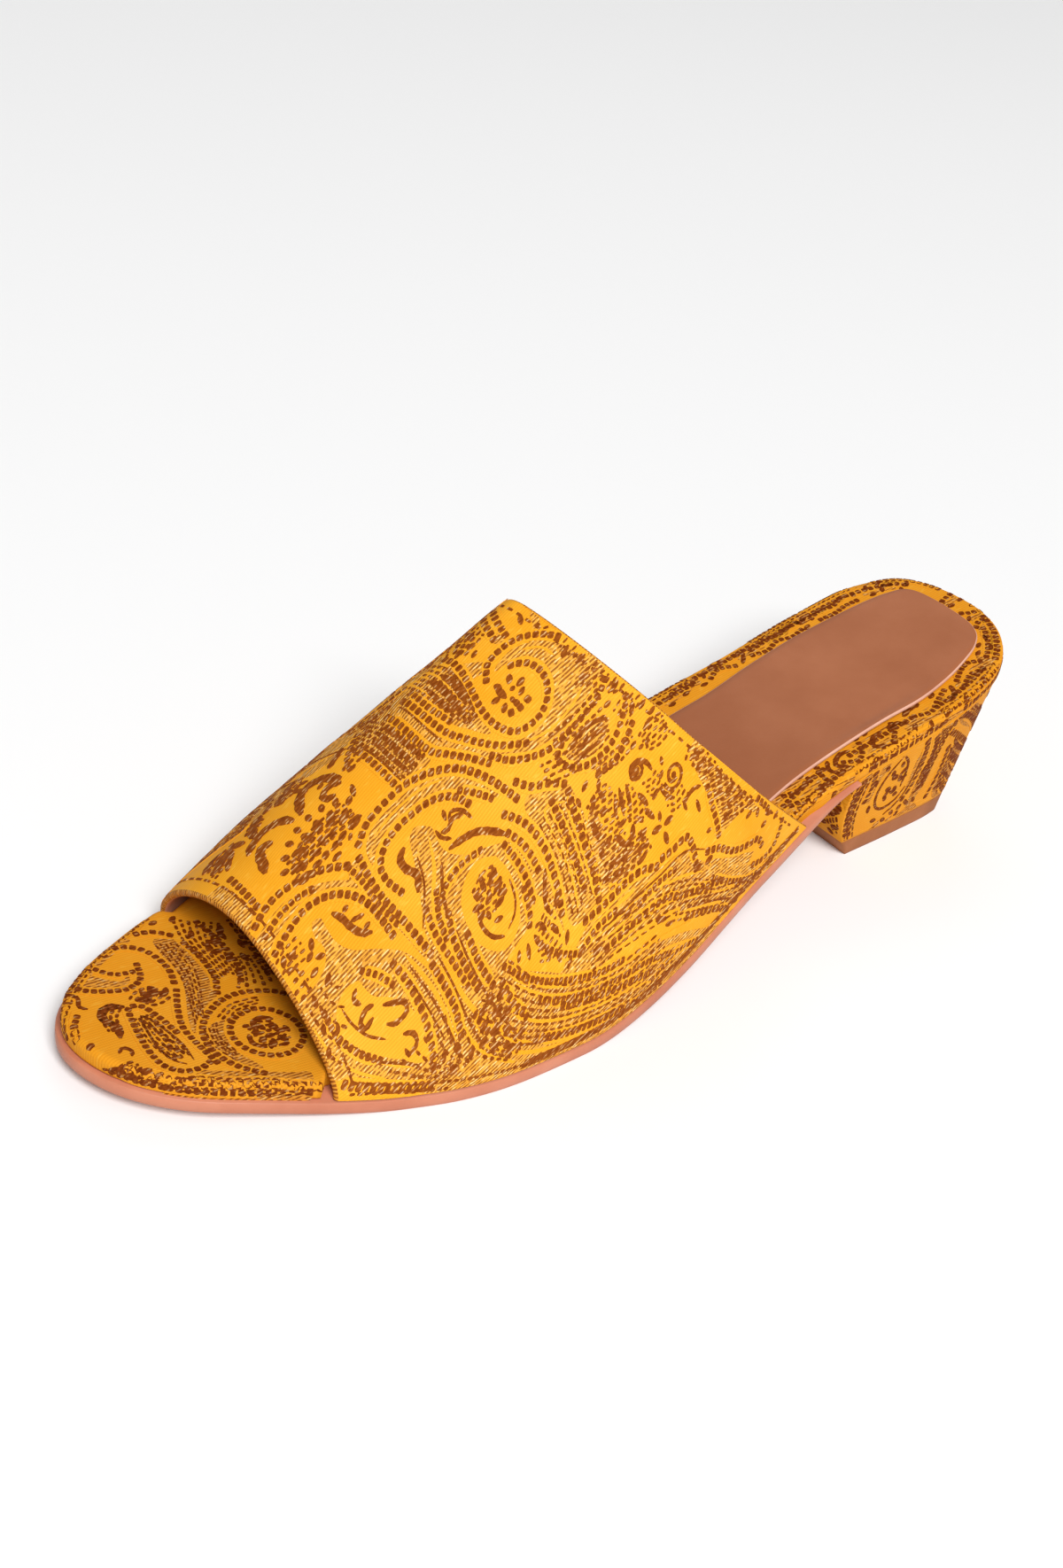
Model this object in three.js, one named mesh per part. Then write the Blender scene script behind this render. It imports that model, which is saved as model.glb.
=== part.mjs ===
// Left slide sandal on a low block heel: one band over the ball and the instep, open toe and back.
// Millimetres. The toe points to -X, the inner side of the foot is +Y and the floor is Z = 0.
import * as THREE from "three";

// Sizes of the last
const LENGTH = 250; // back of the heel to the tip of the toe
const BALL_WIDTH = 83; // edge to edge of the sole at the ball
const INSTEP = 65.5; // crown of the band over the outsole, at the back of the band
const HEEL_RISE = 34; // underside of the sole over the floor, at the back of the heel

// Thicknesses and gaps
const OUTSOLE = 2.8;
const FOOTBED = 3.7;
const SOCK = 1;
const WALL = 1.6; // brocade and lining together
const TIP = 4.7; // top piece of the heel
const GAP = 0.3; // between curved pieces that meet
const LEDGE = 0.5; // outsole that shows outside the band
const MARGIN = 1; // outsole that shows outside the bare footbed
const ROUND = 1.4; // rounding of the footbed's upper edge
const SKIVE = 0.8; // what is left of the outsole at its thinned back end

// Plan of the sole. at: share of LENGTH from the heel. inner, outer: shares of BALL_WIDTH from the axis.
const PLAN = [
  { at: 0, inner: 0, outer: 0 },
  { at: 0.006, inner: 0.14, outer: 0.096 },
  { at: 0.023, inner: 0.233, outer: 0.183 },
  { at: 0.055, inner: 0.287, outer: 0.26 },
  { at: 0.1, inner: 0.314, outer: 0.301 },
  { at: 0.16, inner: 0.315, outer: 0.318 },
  { at: 0.27, inner: 0.3, outer: 0.324 },
  { at: 0.4, inner: 0.297, outer: 0.399 },
  { at: 0.52, inner: 0.36, outer: 0.481 },
  { at: 0.64, inner: 0.446, outer: 0.525 },
  { at: 0.7, inner: 0.484, outer: 0.521 },
  { at: 0.76, inner: 0.477, outer: 0.492 },
  { at: 0.8, inner: 0.451, outer: 0.45 },
  { at: 0.86, inner: 0.383, outer: 0.373 },
  { at: 0.91, inner: 0.32, outer: 0.294 },
  { at: 0.95, inner: 0.262, outer: 0.218 },
  { at: 0.98, inner: 0.194, outer: 0.124 },
  { at: 1, inner: 0.054, outer: -0.054 },
];

// Side view of the underside. rise: share of HEEL_RISE. The forefoot lies flat between two rows.
const ARCH = [
  { at: 0, rise: 1 },
  { at: 0.1, rise: 0.865 },
  { at: 0.22, rise: 0.697 },
  { at: 0.34, rise: 0.538 },
  { at: 0.46, rise: 0.303 },
  { at: 0.56, rise: 0.076 },
  { at: 0.64, rise: 0 },
  { at: 0.8, rise: 0 },
  { at: 0.9, rise: 0.055 },
  { at: 1, rise: 0.091 },
];

// Plan of the heel sock, on its own axis: round at the back, square at its hidden front.
const SOCK_AXIS = 0.03; // share of BALL_WIDTH
const SOCK_PLAN = [
  { at: 0.034, inner: 0, outer: 0 },
  { at: 0.036, inner: 0.085, outer: 0.09 },
  { at: 0.042, inner: 0.127, outer: 0.14 },
  { at: 0.058, inner: 0.15, outer: 0.184 },
  { at: 0.083, inner: 0.164, outer: 0.213 },
  { at: 0.12, inner: 0.172, outer: 0.24 },
  { at: 0.18, inner: 0.178, outer: 0.258 },
  { at: 0.24, inner: 0.168, outer: 0.257 },
  { at: 0.32, inner: 0.144, outer: 0.27 },
  { at: 0.44, inner: 0.146, outer: 0.33 },
  { at: 0.6, inner: 0.26, outer: 0.4 },
];

// Sections of the band. crown: share of INSTEP. ridge: where the crown runs, share of BALL_WIDTH.
// innerPull, outerPull: how squarely each side turns from the wall into the crown.
const SECTIONS = [
  { at: 0.32, crown: 1, ridge: 0.181, innerPull: 0.68, outerPull: 0.52 },
  { at: 0.4, crown: 1.004, ridge: 0.182, innerPull: 0.67, outerPull: 0.515 },
  { at: 0.5, crown: 1, ridge: 0.187, innerPull: 0.645, outerPull: 0.49 },
  { at: 0.6, crown: 0.869, ridge: 0.185, innerPull: 0.6, outerPull: 0.46 },
  { at: 0.72, crown: 0.587, ridge: 0.142, innerPull: 0.545, outerPull: 0.415 },
  { at: 0.86, crown: 0.275, ridge: 0.07, innerPull: 0.48, outerPull: 0.36 },
];

// The two edges of the band, as shares of LENGTH: at the inner foot, at the outer foot, and how far
// each one runs forward over the crown and sways to a side.
const TOE_EDGE = { inner: 0.845, outer: 0.855, bow: 0.004, sway: 0.002 };
const BACK_EDGE = { inner: 0.407, outer: 0.341, bow: 0.179, sway: -0.006 };

// The heel block, from the breast (along 0) round to the back (along 1).
// back: share of LENGTH. inner, outer: shares of BALL_WIDTH.
const SEAT_FRONT = 0.26;
const BREAST_SWELL = 0.014; // forward swell of the breast at mid height, share of LENGTH
const TIP_PLAN = [
  { along: 0, back: 0.237, inner: 0.259, outer: 0.273 },
  { along: 0.28, back: 0.165, inner: 0.256, outer: 0.269 },
  { along: 0.47, back: 0.112, inner: 0.246, outer: 0.26 },
  { along: 0.58, back: 0.095, inner: 0.231, outer: 0.245 },
  { along: 0.68, back: 0.082, inner: 0.18, outer: 0.19 },
  { along: 0.84, back: 0.072, inner: 0.092, outer: 0.096 },
  { along: 1, back: 0.069, inner: 0, outer: 0 },
];

const STATIONS = 56; // along a plate
const ACROSS = 36; // over the band, foot to foot
const ALONG = 24; // over the band, edge to edge
const HEEL_STEPS = 18; // breast to back
const HEEL_LEVELS = 7;

const mix = (a, b, share) => a + (b - a) * share;
const clamp = THREE.MathUtils.clamp;
const smooth = THREE.MathUtils.smoothstep;

// A curve through one column of a table. It never swings past its rows.
function through(rows, key, column) {
  const x = rows.map((row) => row[key]);
  const y = rows.map((row) => row[column]);
  const last = x.length - 1;
  const rise = x.slice(1).map((next, i) => (y[i + 1] - y[i]) / (next - x[i]));
  const slope = x.map((_, i) => {
    if (i === 0) return rise[0];
    if (i === last) return rise[last - 1];
    if (rise[i - 1] * rise[i] <= 0) return 0;
    const share = (x[i + 1] - x[i]) / (x[i + 1] - x[i - 1]);
    const least = Math.min(Math.abs(rise[i - 1]), Math.abs(rise[i]));
    return clamp(mix(rise[i], rise[i - 1], share), -2.5 * least, 2.5 * least);
  });
  return (value) => {
    const v = clamp(value, x[0], x[last]);
    let i = 0;
    while (i < last - 1 && v > x[i + 1]) i += 1;
    const span = x[i + 1] - x[i];
    const t = (v - x[i]) / span;
    const bend = t * (1 - t);
    return (
      mix(y[i], y[i + 1], t * t * (3 - 2 * t)) +
      span * bend * ((1 - t) * slope[i] - t * slope[i + 1])
    );
  };
}

// A plan is read by its turn: 0 at its back end and half a circle at the toe, so that its ends come out
// round. side is 1 for the inner edge and -1 for the outer one.
function edgeOf(rows, axis) {
  const start = rows[0].at;
  const turned = rows.map((row) => ({
    ...row,
    turn: Math.acos(1 - (2 * (row.at - start)) / (1 - start)),
  }));
  const reach = {
    1: through(turned, "turn", "inner"),
    [-1]: through(turned, "turn", "outer"),
  };
  const point = (turn, side) =>
    new THREE.Vector2(
      LENGTH * (0.5 - start - ((1 - start) * (1 - Math.cos(turn))) / 2),
      BALL_WIDTH * (axis + side * reach[side](turn)),
    );
  // inset draws the edge in, square to itself. At a pinched end both edges are one point.
  return (turn, which, inset) => {
    const side = reach[1](turn) + reach[-1](turn) < 1e-6 ? 1 : which;
    const ahead = point(Math.min(turn + 0.002, Math.PI), side);
    const run = ahead.sub(point(Math.max(turn - 0.002, 0), side)).normalize();
    const p = point(turn, side);
    return new THREE.Vector2(p.x - side * inset * run.y, p.y + side * inset * run.x);
  };
}

const rim = edgeOf(PLAN, 0);
const sockRim = edgeOf(SOCK_PLAN, SOCK_AXIS);
const rise = through(ARCH, "at", "rise");
const shareOf = (x) => clamp(0.5 - x / LENGTH, 0, 1);
const turnOf = (share) => Math.acos(1 - 2 * share);
const underside = (x) => HEEL_RISE * rise(shareOf(x));

// Triangles gathered into one closed body. Those that a pinched end makes flat are left out.
class Body {
  corners = [];

  triangle(a, b, c) {
    const near = (p, q) => p.distanceTo(q) < 1e-3;
    if (near(a, b) || near(b, c) || near(c, a)) return;
    this.corners.push(a, b, c);
  }

  quad(a, b, c, d) {
    this.triangle(a, b, c);
    this.triangle(a, c, d);
  }

  // A skin over a chain of rings, each with as many points.
  rings(rings) {
    rings.slice(1).forEach((ring, i) => {
      const before = rings[i];
      ring.forEach((point, j) => {
        const k = (j + 1) % ring.length;
        this.quad(before[j], before[k], ring[k], point);
      });
    });
    return this;
  }

  // A flat or ruled end, with rungs between the two halves of its ring.
  end(ring, flip) {
    const rungs = Math.floor(ring.length / 2);
    for (let i = 0; i < rungs - 1 + (ring.length % 2); i += 1) {
      const j = ring.length - 1 - i;
      const corners = [ring[i], ring[i + 1], ring[j - 1], ring[j]];
      if (flip) corners.reverse();
      this.quad(...corners);
    }
    return this;
  }

  mesh(name, color, roughness) {
    const geometry = new THREE.BufferGeometry().setFromPoints(this.corners);
    geometry.computeVertexNormals();
    const material = new THREE.MeshStandardMaterial({ color, roughness, metalness: 0 });
    const mesh = new THREE.Mesh(geometry, material);
    mesh.name = name;
    return mesh;
  }
}

// One section of a plate: up its outer edge and down its inner one.
// profile: inset and height over the underside of the sole, from the bottom up.
function plateRing(edge, turn, profileOf) {
  const side = (which) =>
    profileOf(turn, which).map(({ inset, height }) => {
      const p = edge(turn, which, inset);
      return new THREE.Vector3(p.x, p.y, underside(p.x) + height);
    });
  return [...side(-1), ...side(1).reverse()];
}

function turns(from, to, count) {
  return Array.from({ length: count + 1 }, (_, i) => mix(from, to, i / count));
}

// The band

const crown = through(SECTIONS, "at", "crown");
const ridge = through(SECTIONS, "at", "ridge");
const pull = {
  1: through(SECTIONS, "at", "innerPull"),
  [-1]: through(SECTIONS, "at", "outerPull"),
};

// Where an edge of the band crosses v: 0 at its inner foot, 1 at its outer foot.
function crossing(edge, v) {
  return (
    mix(edge.inner, edge.outer, v) +
    edge.bow * 4 * v * (1 - v) +
    edge.sway * Math.sin(2 * Math.PI * v)
  );
}

// The outer face of the band. u runs from the toe edge to the back edge, v from foot to foot.
function face(u, v) {
  const at = mix(crossing(TOE_EDGE, v), crossing(BACK_EDGE, v), u);
  const side = v <= 0.5 ? 1 : -1;
  const t = v <= 0.5 ? 2 * v : 2 * (1 - v);
  const k = pull[side](at);
  const foot = rim(turnOf(at), side, 0).y - side * LEDGE;
  const top = BALL_WIDTH * ridge(at);
  const out = (1 - t) ** 3 + 3 * (1 - t) ** 2 * t + 3 * (1 - t) * t * t * k;
  const up = 3 * (1 - t) ** 2 * t * k + 3 * (1 - t) * t * t + t ** 3;
  const x = LENGTH * (0.5 - at);
  const base = underside(x) + OUTSOLE + GAP;
  return new THREE.Vector3(x, mix(top, foot, out), base + INSTEP * crown(at) * up);
}

function inwards(u, v) {
  const d = 0.004;
  const alongBand = face(Math.min(u + d, 1), v).sub(face(Math.max(u - d, 0), v));
  const overBand = face(u, Math.min(v + d, 1)).sub(face(u, Math.max(v - d, 0)));
  const n = alongBand.cross(overBand);
  if (v === 0 || v === 1) n.z = 0;
  const p = face(u, v);
  const axis = new THREE.Vector3(p.x, BALL_WIDTH * ridge(shareOf(p.x)), 0);
  if (n.dot(axis.sub(p)) < 0) n.negate();
  return n.normalize();
}

function upper() {
  const grid = (depth) =>
    Array.from({ length: ALONG + 1 }, (_, i) =>
      Array.from({ length: ACROSS + 1 }, (_, j) => {
        const u = i / ALONG;
        const v = j / ACROSS;
        return face(u, v).addScaledVector(inwards(u, v), depth);
      }),
    );
  const outside = grid(0);
  const inside = grid(WALL);
  // Each row of the band is a closed ring: over the outside and back along the lining.
  const rows = outside.map((row, i) => [...row, ...inside[i].toReversed()]);
  return new Body().rings(rows).end(rows[0], true).end(rows[ALONG], false);
}

// The sole

// How much of the band stands beside the footbed here: 1 between the band's edges, 0 well clear of them.
function beside(at, side) {
  const v = side > 0 ? 0 : 1;
  const back = crossing(BACK_EDGE, v);
  const toe = crossing(TOE_EDGE, v);
  return smooth(at, back - 0.05, back - 0.004) * (1 - smooth(at, toe + 0.004, toe + 0.02));
}

// How far the band's wall has come in at the height of the footbed's top.
function lean(at, side) {
  const k = pull[side](at);
  const t = (FOOTBED + GAP) / (3 * k * INSTEP * crown(at));
  return 3 * t * t * (1 - k) * BALL_WIDTH * 0.45;
}

function footbedProfile(turn, side) {
  const at = (1 - Math.cos(turn)) / 2;
  const wall = LEDGE + WALL + GAP + lean(at, side);
  const edge = mix(MARGIN, wall, beside(at, side));
  const bottom = OUTSOLE + GAP;
  const top = bottom + FOOTBED;
  return [
    { inset: edge + 0.3, height: bottom },
    { inset: edge, height: bottom + 0.6 },
    { inset: edge, height: top - ROUND },
    { inset: edge + 0.18 * ROUND, height: top - 0.45 * ROUND },
    { inset: edge + 0.5 * ROUND, height: top - 0.13 * ROUND },
    { inset: edge + ROUND, height: top },
  ];
}

function footbed() {
  const rings = turns(0, Math.PI, STATIONS).map((turn) =>
    plateRing(rim, turn, footbedProfile),
  );
  return new Body().rings(rings);
}

const SOLE_END = SEAT_FRONT + 0.003;

function outsoleProfile(turn) {
  const at = (1 - Math.cos(turn)) / 2;
  const thinned = (OUTSOLE - SKIVE) * (1 - smooth(at, SOLE_END, SOLE_END + 0.09));
  return [
    { inset: 0.5, height: thinned },
    { inset: 0, height: thinned + 0.4 },
    { inset: 0, height: OUTSOLE },
  ];
}

function outsole() {
  const rings = turns(turnOf(SOLE_END), Math.PI, STATIONS).map((turn) =>
    plateRing(rim, turn, outsoleProfile),
  );
  return new Body().rings(rings).end(rings[0], true);
}

function heelSock() {
  const bottom = OUTSOLE + FOOTBED + 2 * GAP;
  const profile = () => [
    { inset: 0, height: bottom },
    { inset: 0, height: bottom + SOCK },
  ];
  const start = SOCK_PLAN[0].at;
  const front = Math.acos(1 - (2 * (SOCK_PLAN.at(-1).at - start)) / (1 - start));
  const rings = turns(0, front, STATIONS / 2).map((turn) =>
    plateRing(sockRim, turn, profile),
  );
  return new Body().rings(rings).end(rings.at(-1), false);
}

// The heel

const tipBack = through(TIP_PLAN, "along", "back");
const tipReach = {
  1: through(TIP_PLAN, "along", "inner"),
  [-1]: through(TIP_PLAN, "along", "outer"),
};

// A straight line up the side of the heel, from the floor to the seat.
function heelLine(along, side) {
  const floor = new THREE.Vector3(
    LENGTH * (0.5 - tipBack(along)),
    side * BALL_WIDTH * tipReach[side](along),
    0,
  );
  const p = rim(turnOf(SEAT_FRONT) * (1 - along), side, MARGIN + 0.3);
  const seat = new THREE.Vector3(p.x, p.y, underside(p.x) + OUTSOLE);
  return { floor, seat, along };
}

const heelLines = [
  ...turns(0, 1, HEEL_STEPS).map((along) => heelLine(along, -1)),
  ...turns(1, 0, HEEL_STEPS)
    .slice(1)
    .map((along) => heelLine(along, 1)),
];

// share goes from 0 at a height over the floor to 1 at the seat.
function heelRing(height, share) {
  return heelLines.map(({ floor, seat, along }) => {
    const w = mix(height / seat.z, 1, share);
    const p = floor.clone().lerp(seat, w);
    p.x -= LENGTH * BREAST_SWELL * Math.sin(Math.PI * w) * (1 - along) ** 3;
    return p;
  });
}

function heelBlock() {
  const rings = turns(0, 1, HEEL_LEVELS).map((share) => heelRing(TIP, share));
  return new Body().rings(rings).end(rings[0], true).end(rings.at(-1), false);
}

function heelTip() {
  const rings = [heelRing(0, 0), heelRing(TIP, 0)];
  return new Body().rings(rings).end(rings[0], true).end(rings[1], false);
}

const group = new THREE.Group();
group.add(
  upper().mesh("upper", 0xe0a02c, 0.62),
  footbed().mesh("footbed", 0xe3a22a, 0.62),
  heelSock().mesh("heel_sock", 0xa8683f, 0.5),
  outsole().mesh("outsole", 0xbf7355, 0.55),
  heelBlock().mesh("heel_block", 0xd9951f, 0.62),
  heelTip().mesh("heel_tip", 0xa36a45, 0.6),
);

// The middle of the shoe's bounding box is put over the origin.
const middle = new THREE.Box3().setFromObject(group).getCenter(new THREE.Vector3());
group.position.set(-middle.x, -middle.y, 0);

export default group;
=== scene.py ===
import math

import bpy
import numpy as np
from mathutils import Matrix, Vector
from mathutils.geometry import delaunay_2d_cdt


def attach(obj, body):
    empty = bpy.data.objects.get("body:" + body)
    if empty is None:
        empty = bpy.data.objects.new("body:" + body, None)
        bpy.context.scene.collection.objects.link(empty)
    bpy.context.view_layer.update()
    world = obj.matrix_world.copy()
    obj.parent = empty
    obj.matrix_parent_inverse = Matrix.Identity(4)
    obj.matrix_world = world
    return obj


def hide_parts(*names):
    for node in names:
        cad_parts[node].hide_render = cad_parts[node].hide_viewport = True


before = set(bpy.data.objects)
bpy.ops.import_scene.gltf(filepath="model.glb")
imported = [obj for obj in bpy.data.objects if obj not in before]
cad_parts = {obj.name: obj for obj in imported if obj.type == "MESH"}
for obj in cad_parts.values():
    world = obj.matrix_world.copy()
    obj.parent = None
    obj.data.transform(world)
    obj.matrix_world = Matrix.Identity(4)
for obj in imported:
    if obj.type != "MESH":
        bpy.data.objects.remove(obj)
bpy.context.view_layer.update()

# The shoe's own sizes in millimetres, on the axis of the last: heel's back at x = 125, toe tip at x = -125.
LENGTH, BALL_WIDTH, INSTEP, HEEL_RISE = 250.0, 83.0, 65.5, 34.0
OUTSOLE, FOOTBED, SOCK, WALL, TIP = 2.8, 3.7, 1.0, 1.6, 4.7
GAP, LEDGE, MARGIN, ROUND, SKIVE = 0.3, 0.5, 1.0, 1.4, 0.8
SHIFT = np.array([0.5, 1.705, 0.0])  # from the axis of the last to the frame's origin


def table(names, rows):
    """The named columns of a table."""
    return {name: np.array(column) for name, column in zip(names.split(), zip(*rows))}


# `at` is the share of the length from the heel's back. Half widths and the ridge are shares of BALL_WIDTH,
# `rise` of HEEL_RISE, and `crown` of INSTEP.
PLAN = table("at inner outer", [
    (0, 0, 0), (.006, .14, .096), (.023, .233, .183), (.055, .287, .26), (.1, .314, .301),
    (.16, .315, .318), (.27, .3, .324), (.4, .297, .399), (.52, .36, .481), (.64, .446, .525),
    (.7, .484, .521), (.76, .477, .492), (.8, .451, .45), (.86, .383, .373), (.91, .32, .294),
    (.95, .262, .218), (.98, .194, .124), (1, .054, -.054)])
ARCH = table("at rise", [
    (0, 1), (.1, .865), (.22, .697), (.34, .538), (.46, .303), (.56, .076), (.64, 0), (.8, 0),
    (.9, .055), (1, .091)])
SOCK_AXIS = 0.03
SOCK_PLAN = table("at inner outer", [
    (.034, 0, 0), (.036, .085, .09), (.042, .127, .14), (.058, .15, .184), (.083, .164, .213),
    (.12, .172, .24), (.18, .178, .258), (.24, .168, .257), (.32, .144, .27), (.44, .146, .33),
    (.6, .26, .4)])
SECTIONS = table("at crown ridge inner outer", [
    (.32, 1, .181, .68, .52), (.4, 1.004, .182, .67, .515), (.5, 1, .187, .645, .49),
    (.6, .869, .185, .6, .46), (.72, .587, .142, .545, .415), (.86, .275, .07, .48, .36)])
TOE_EDGE = dict(inner=.845, outer=.855, bow=.004, sway=.002)
BACK_EDGE = dict(inner=.407, outer=.341, bow=.179, sway=-.006)
SEAT_FRONT, BREAST_SWELL = 0.26, 0.014
# Round the top piece: `along` goes from the breast to the back, and `back` is a share of the length.
TIP_PLAN = table("along back inner outer", [
    (0, .237, .259, .273), (.28, .165, .256, .269), (.47, .112, .246, .26),
    (.58, .095, .231, .245), (.68, .082, .18, .19), (.84, .072, .092, .096), (1, .069, 0, 0)])


def mix(a, b, t):
    return a + (b - a) * t


def smooth(v, low, high):
    t = np.clip((v - low) / (high - low), 0, 1)
    return t * t * (3 - 2 * t)


def through(x, y):
    """A curve through a table's column that never swings past its rows."""
    rise = np.diff(y) / np.diff(x)
    share = (x[2:] - x[1:-1]) / (x[2:] - x[:-2])
    limit = 2.5 * np.minimum(abs(rise[:-1]), abs(rise[1:]))
    inner = np.clip(mix(rise[1:], rise[:-1], share), -limit, limit)
    slope = np.r_[rise[0], np.where(rise[:-1] * rise[1:] <= 0, 0, inner), rise[-1]]

    def curve(value):
        v = np.clip(value, x[0], x[-1])
        i = np.clip(np.searchsorted(x, v, side="right") - 1, 0, len(x) - 2)
        span = x[i + 1] - x[i]
        t = (v - x[i]) / span
        bend = span * t * (1 - t) * ((1 - t) * slope[i] - t * slope[i + 1])
        return mix(y[i], y[i + 1], t * t * (3 - 2 * t)) + bend

    return curve


def edge_of(plan, axis):
    """A plan's edge by its turn, 0 at the back end and pi at the toe. side is 1 inner, -1 outer."""
    start = plan["at"][0]
    turn_of_rows = np.arccos(1 - 2 * (plan["at"] - start) / (1 - start))
    inner, outer = through(turn_of_rows, plan["inner"]), through(turn_of_rows, plan["outer"])

    def point(turn, side):
        reach = np.where(side > 0, inner(turn), -outer(turn))
        x = LENGTH * (0.5 - start - (1 - start) * (1 - np.cos(turn)) / 2)
        return np.stack(np.broadcast_arrays(x, BALL_WIDTH * (axis + reach)), -1)

    def edge(turn, side, inset=0.0):
        turn, side, inset = np.broadcast_arrays(*map(np.asarray, (turn, side, inset)))
        side = np.where(inner(turn) + outer(turn) < 1e-6, 1, side)
        run = point(np.minimum(turn + .002, math.pi), side) - point(np.maximum(turn - .002, 0), side)
        run /= np.linalg.norm(run, axis=-1, keepdims=True)
        p = point(turn, side)
        off = np.stack([-side * inset * run[..., 1], side * inset * run[..., 0]], -1)
        return p + off

    return edge


rim = edge_of(PLAN, 0)
sock_rim = edge_of(SOCK_PLAN, SOCK_AXIS)
rise_at = through(ARCH["at"], ARCH["rise"])
crown_at = through(SECTIONS["at"], SECTIONS["crown"])
ridge_at = through(SECTIONS["at"], SECTIONS["ridge"])
pull_inner = through(SECTIONS["at"], SECTIONS["inner"])
pull_outer = through(SECTIONS["at"], SECTIONS["outer"])


def turn_of(share):
    return np.arccos(1 - 2 * np.clip(share, 0, 1))


def underside(x):
    return HEEL_RISE * rise_at(np.clip(0.5 - x / LENGTH, 0, 1))


def crossing(edge, v):
    bow = edge["bow"] * 4 * v * (1 - v)
    return mix(edge["inner"], edge["outer"], v) + bow + edge["sway"] * np.sin(2 * math.pi * v)


def band(at, v):
    """The outer face of the band where it crosses share `at` of the length; v from inner to outer foot."""
    at, v = np.broadcast_arrays(np.asarray(at, float), np.asarray(v, float))
    side = np.where(v <= .5, 1, -1)
    t = np.where(v <= .5, 2 * v, 2 * (1 - v))
    k = np.where(side > 0, pull_inner(at), pull_outer(at))
    foot = rim(turn_of(at), side)[..., 1] - side * LEDGE
    top = BALL_WIDTH * ridge_at(at)
    out = (1 - t) ** 3 + 3 * (1 - t) ** 2 * t + 3 * (1 - t) * t * t * k
    up = 3 * (1 - t) ** 2 * t * k + 3 * (1 - t) * t * t + t ** 3
    x = LENGTH * (0.5 - at)
    z = underside(x) + OUTSOLE + GAP + INSTEP * crown_at(at) * up
    return np.stack(np.broadcast_arrays(x, mix(top, foot, out), z), -1)


def unit(v):
    return v / np.maximum(np.linalg.norm(v, axis=-1, keepdims=True), 1e-12)


def band_out(at, v):
    """The outward normal of the band."""
    at, v = np.broadcast_arrays(np.asarray(at, float), np.asarray(v, float))
    step = 1e-4
    low, high = np.maximum(v - step, 0), np.minimum(v + step, 1)
    n = np.cross(band(at + step, v) - band(at - step, v), band(at, high) - band(at, low))
    n[..., 2] = np.where((v <= 0) | (v >= 1), 0, n[..., 2])
    p = band(at, v)
    axis = np.stack([p[..., 0], BALL_WIDTH * ridge_at(at), 0 * at], -1)
    flip = np.where((n * (p - axis)).sum(-1) < 0, -1, 1)
    return unit(n * flip[..., None])


# Meshes

def mesh_object(name, points, quads, materials, slots=None, uv=None):
    mesh = bpy.data.meshes.new(name)
    mesh.from_pydata([tuple(p) for p in (points + SHIFT) / 1000], [], [tuple(q) for q in quads])
    for material in materials:
        mesh.materials.append(material)
    if slots is not None:
        mesh.polygons.foreach_set("material_index", np.asarray(slots, dtype=np.int32))
    if uv is not None:
        layer = mesh.uv_layers.new(name="cloth")
        loops = np.zeros(len(mesh.loops), dtype=np.int32)
        mesh.loops.foreach_get("vertex_index", loops)
        layer.data.foreach_set("uv", (uv[loops] / 1000).astype(np.float32).ravel())
    mesh.polygons.foreach_set("use_smooth", np.full(len(mesh.polygons), True))
    mesh.validate()
    made = bpy.data.objects.new(name, mesh)
    bpy.context.scene.collection.objects.link(made)
    return made


def grid_quads(rows, columns, wrap=False):
    """Quads over a grid of points held row by row; wrap joins the last column to the first."""
    i, j = np.meshgrid(np.arange(rows - 1), np.arange(columns if wrap else columns - 1), indexing="ij")
    k = (j + 1) % columns
    quads = np.stack([i * columns + j, i * columns + k, (i + 1) * columns + k, (i + 1) * columns + j], -1)
    return quads.reshape(-1, 4)


def clean(points, quads):
    """Drops quads that a pinched end has closed, and makes the half-closed ones triangles."""
    out, kept = [], []
    _, same = np.unique(np.round(points, 4), axis=0, return_inverse=True)
    same = same.ravel()
    for index, q in enumerate(quads):
        corners = []
        for c in q:
            if same[c] not in [same[d] for d in corners]:
                corners.append(c)
        if len(corners) > 2:
            out.append(corners)
            kept.append(index)
    return out, np.array(kept)


def length_along(points, axis):
    """The length from the first point to each point, along an axis of the array."""
    step = np.linalg.norm(np.diff(points, axis=axis), axis=-1)
    zero = np.zeros_like(np.take(step, [0], axis=axis))
    return np.cumsum(np.concatenate([zero, step], axis=axis), axis=axis)


# Materials

STRIPES_A_UNIT = .314  # a wave texture's scale for one stripe in a unit of length


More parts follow.
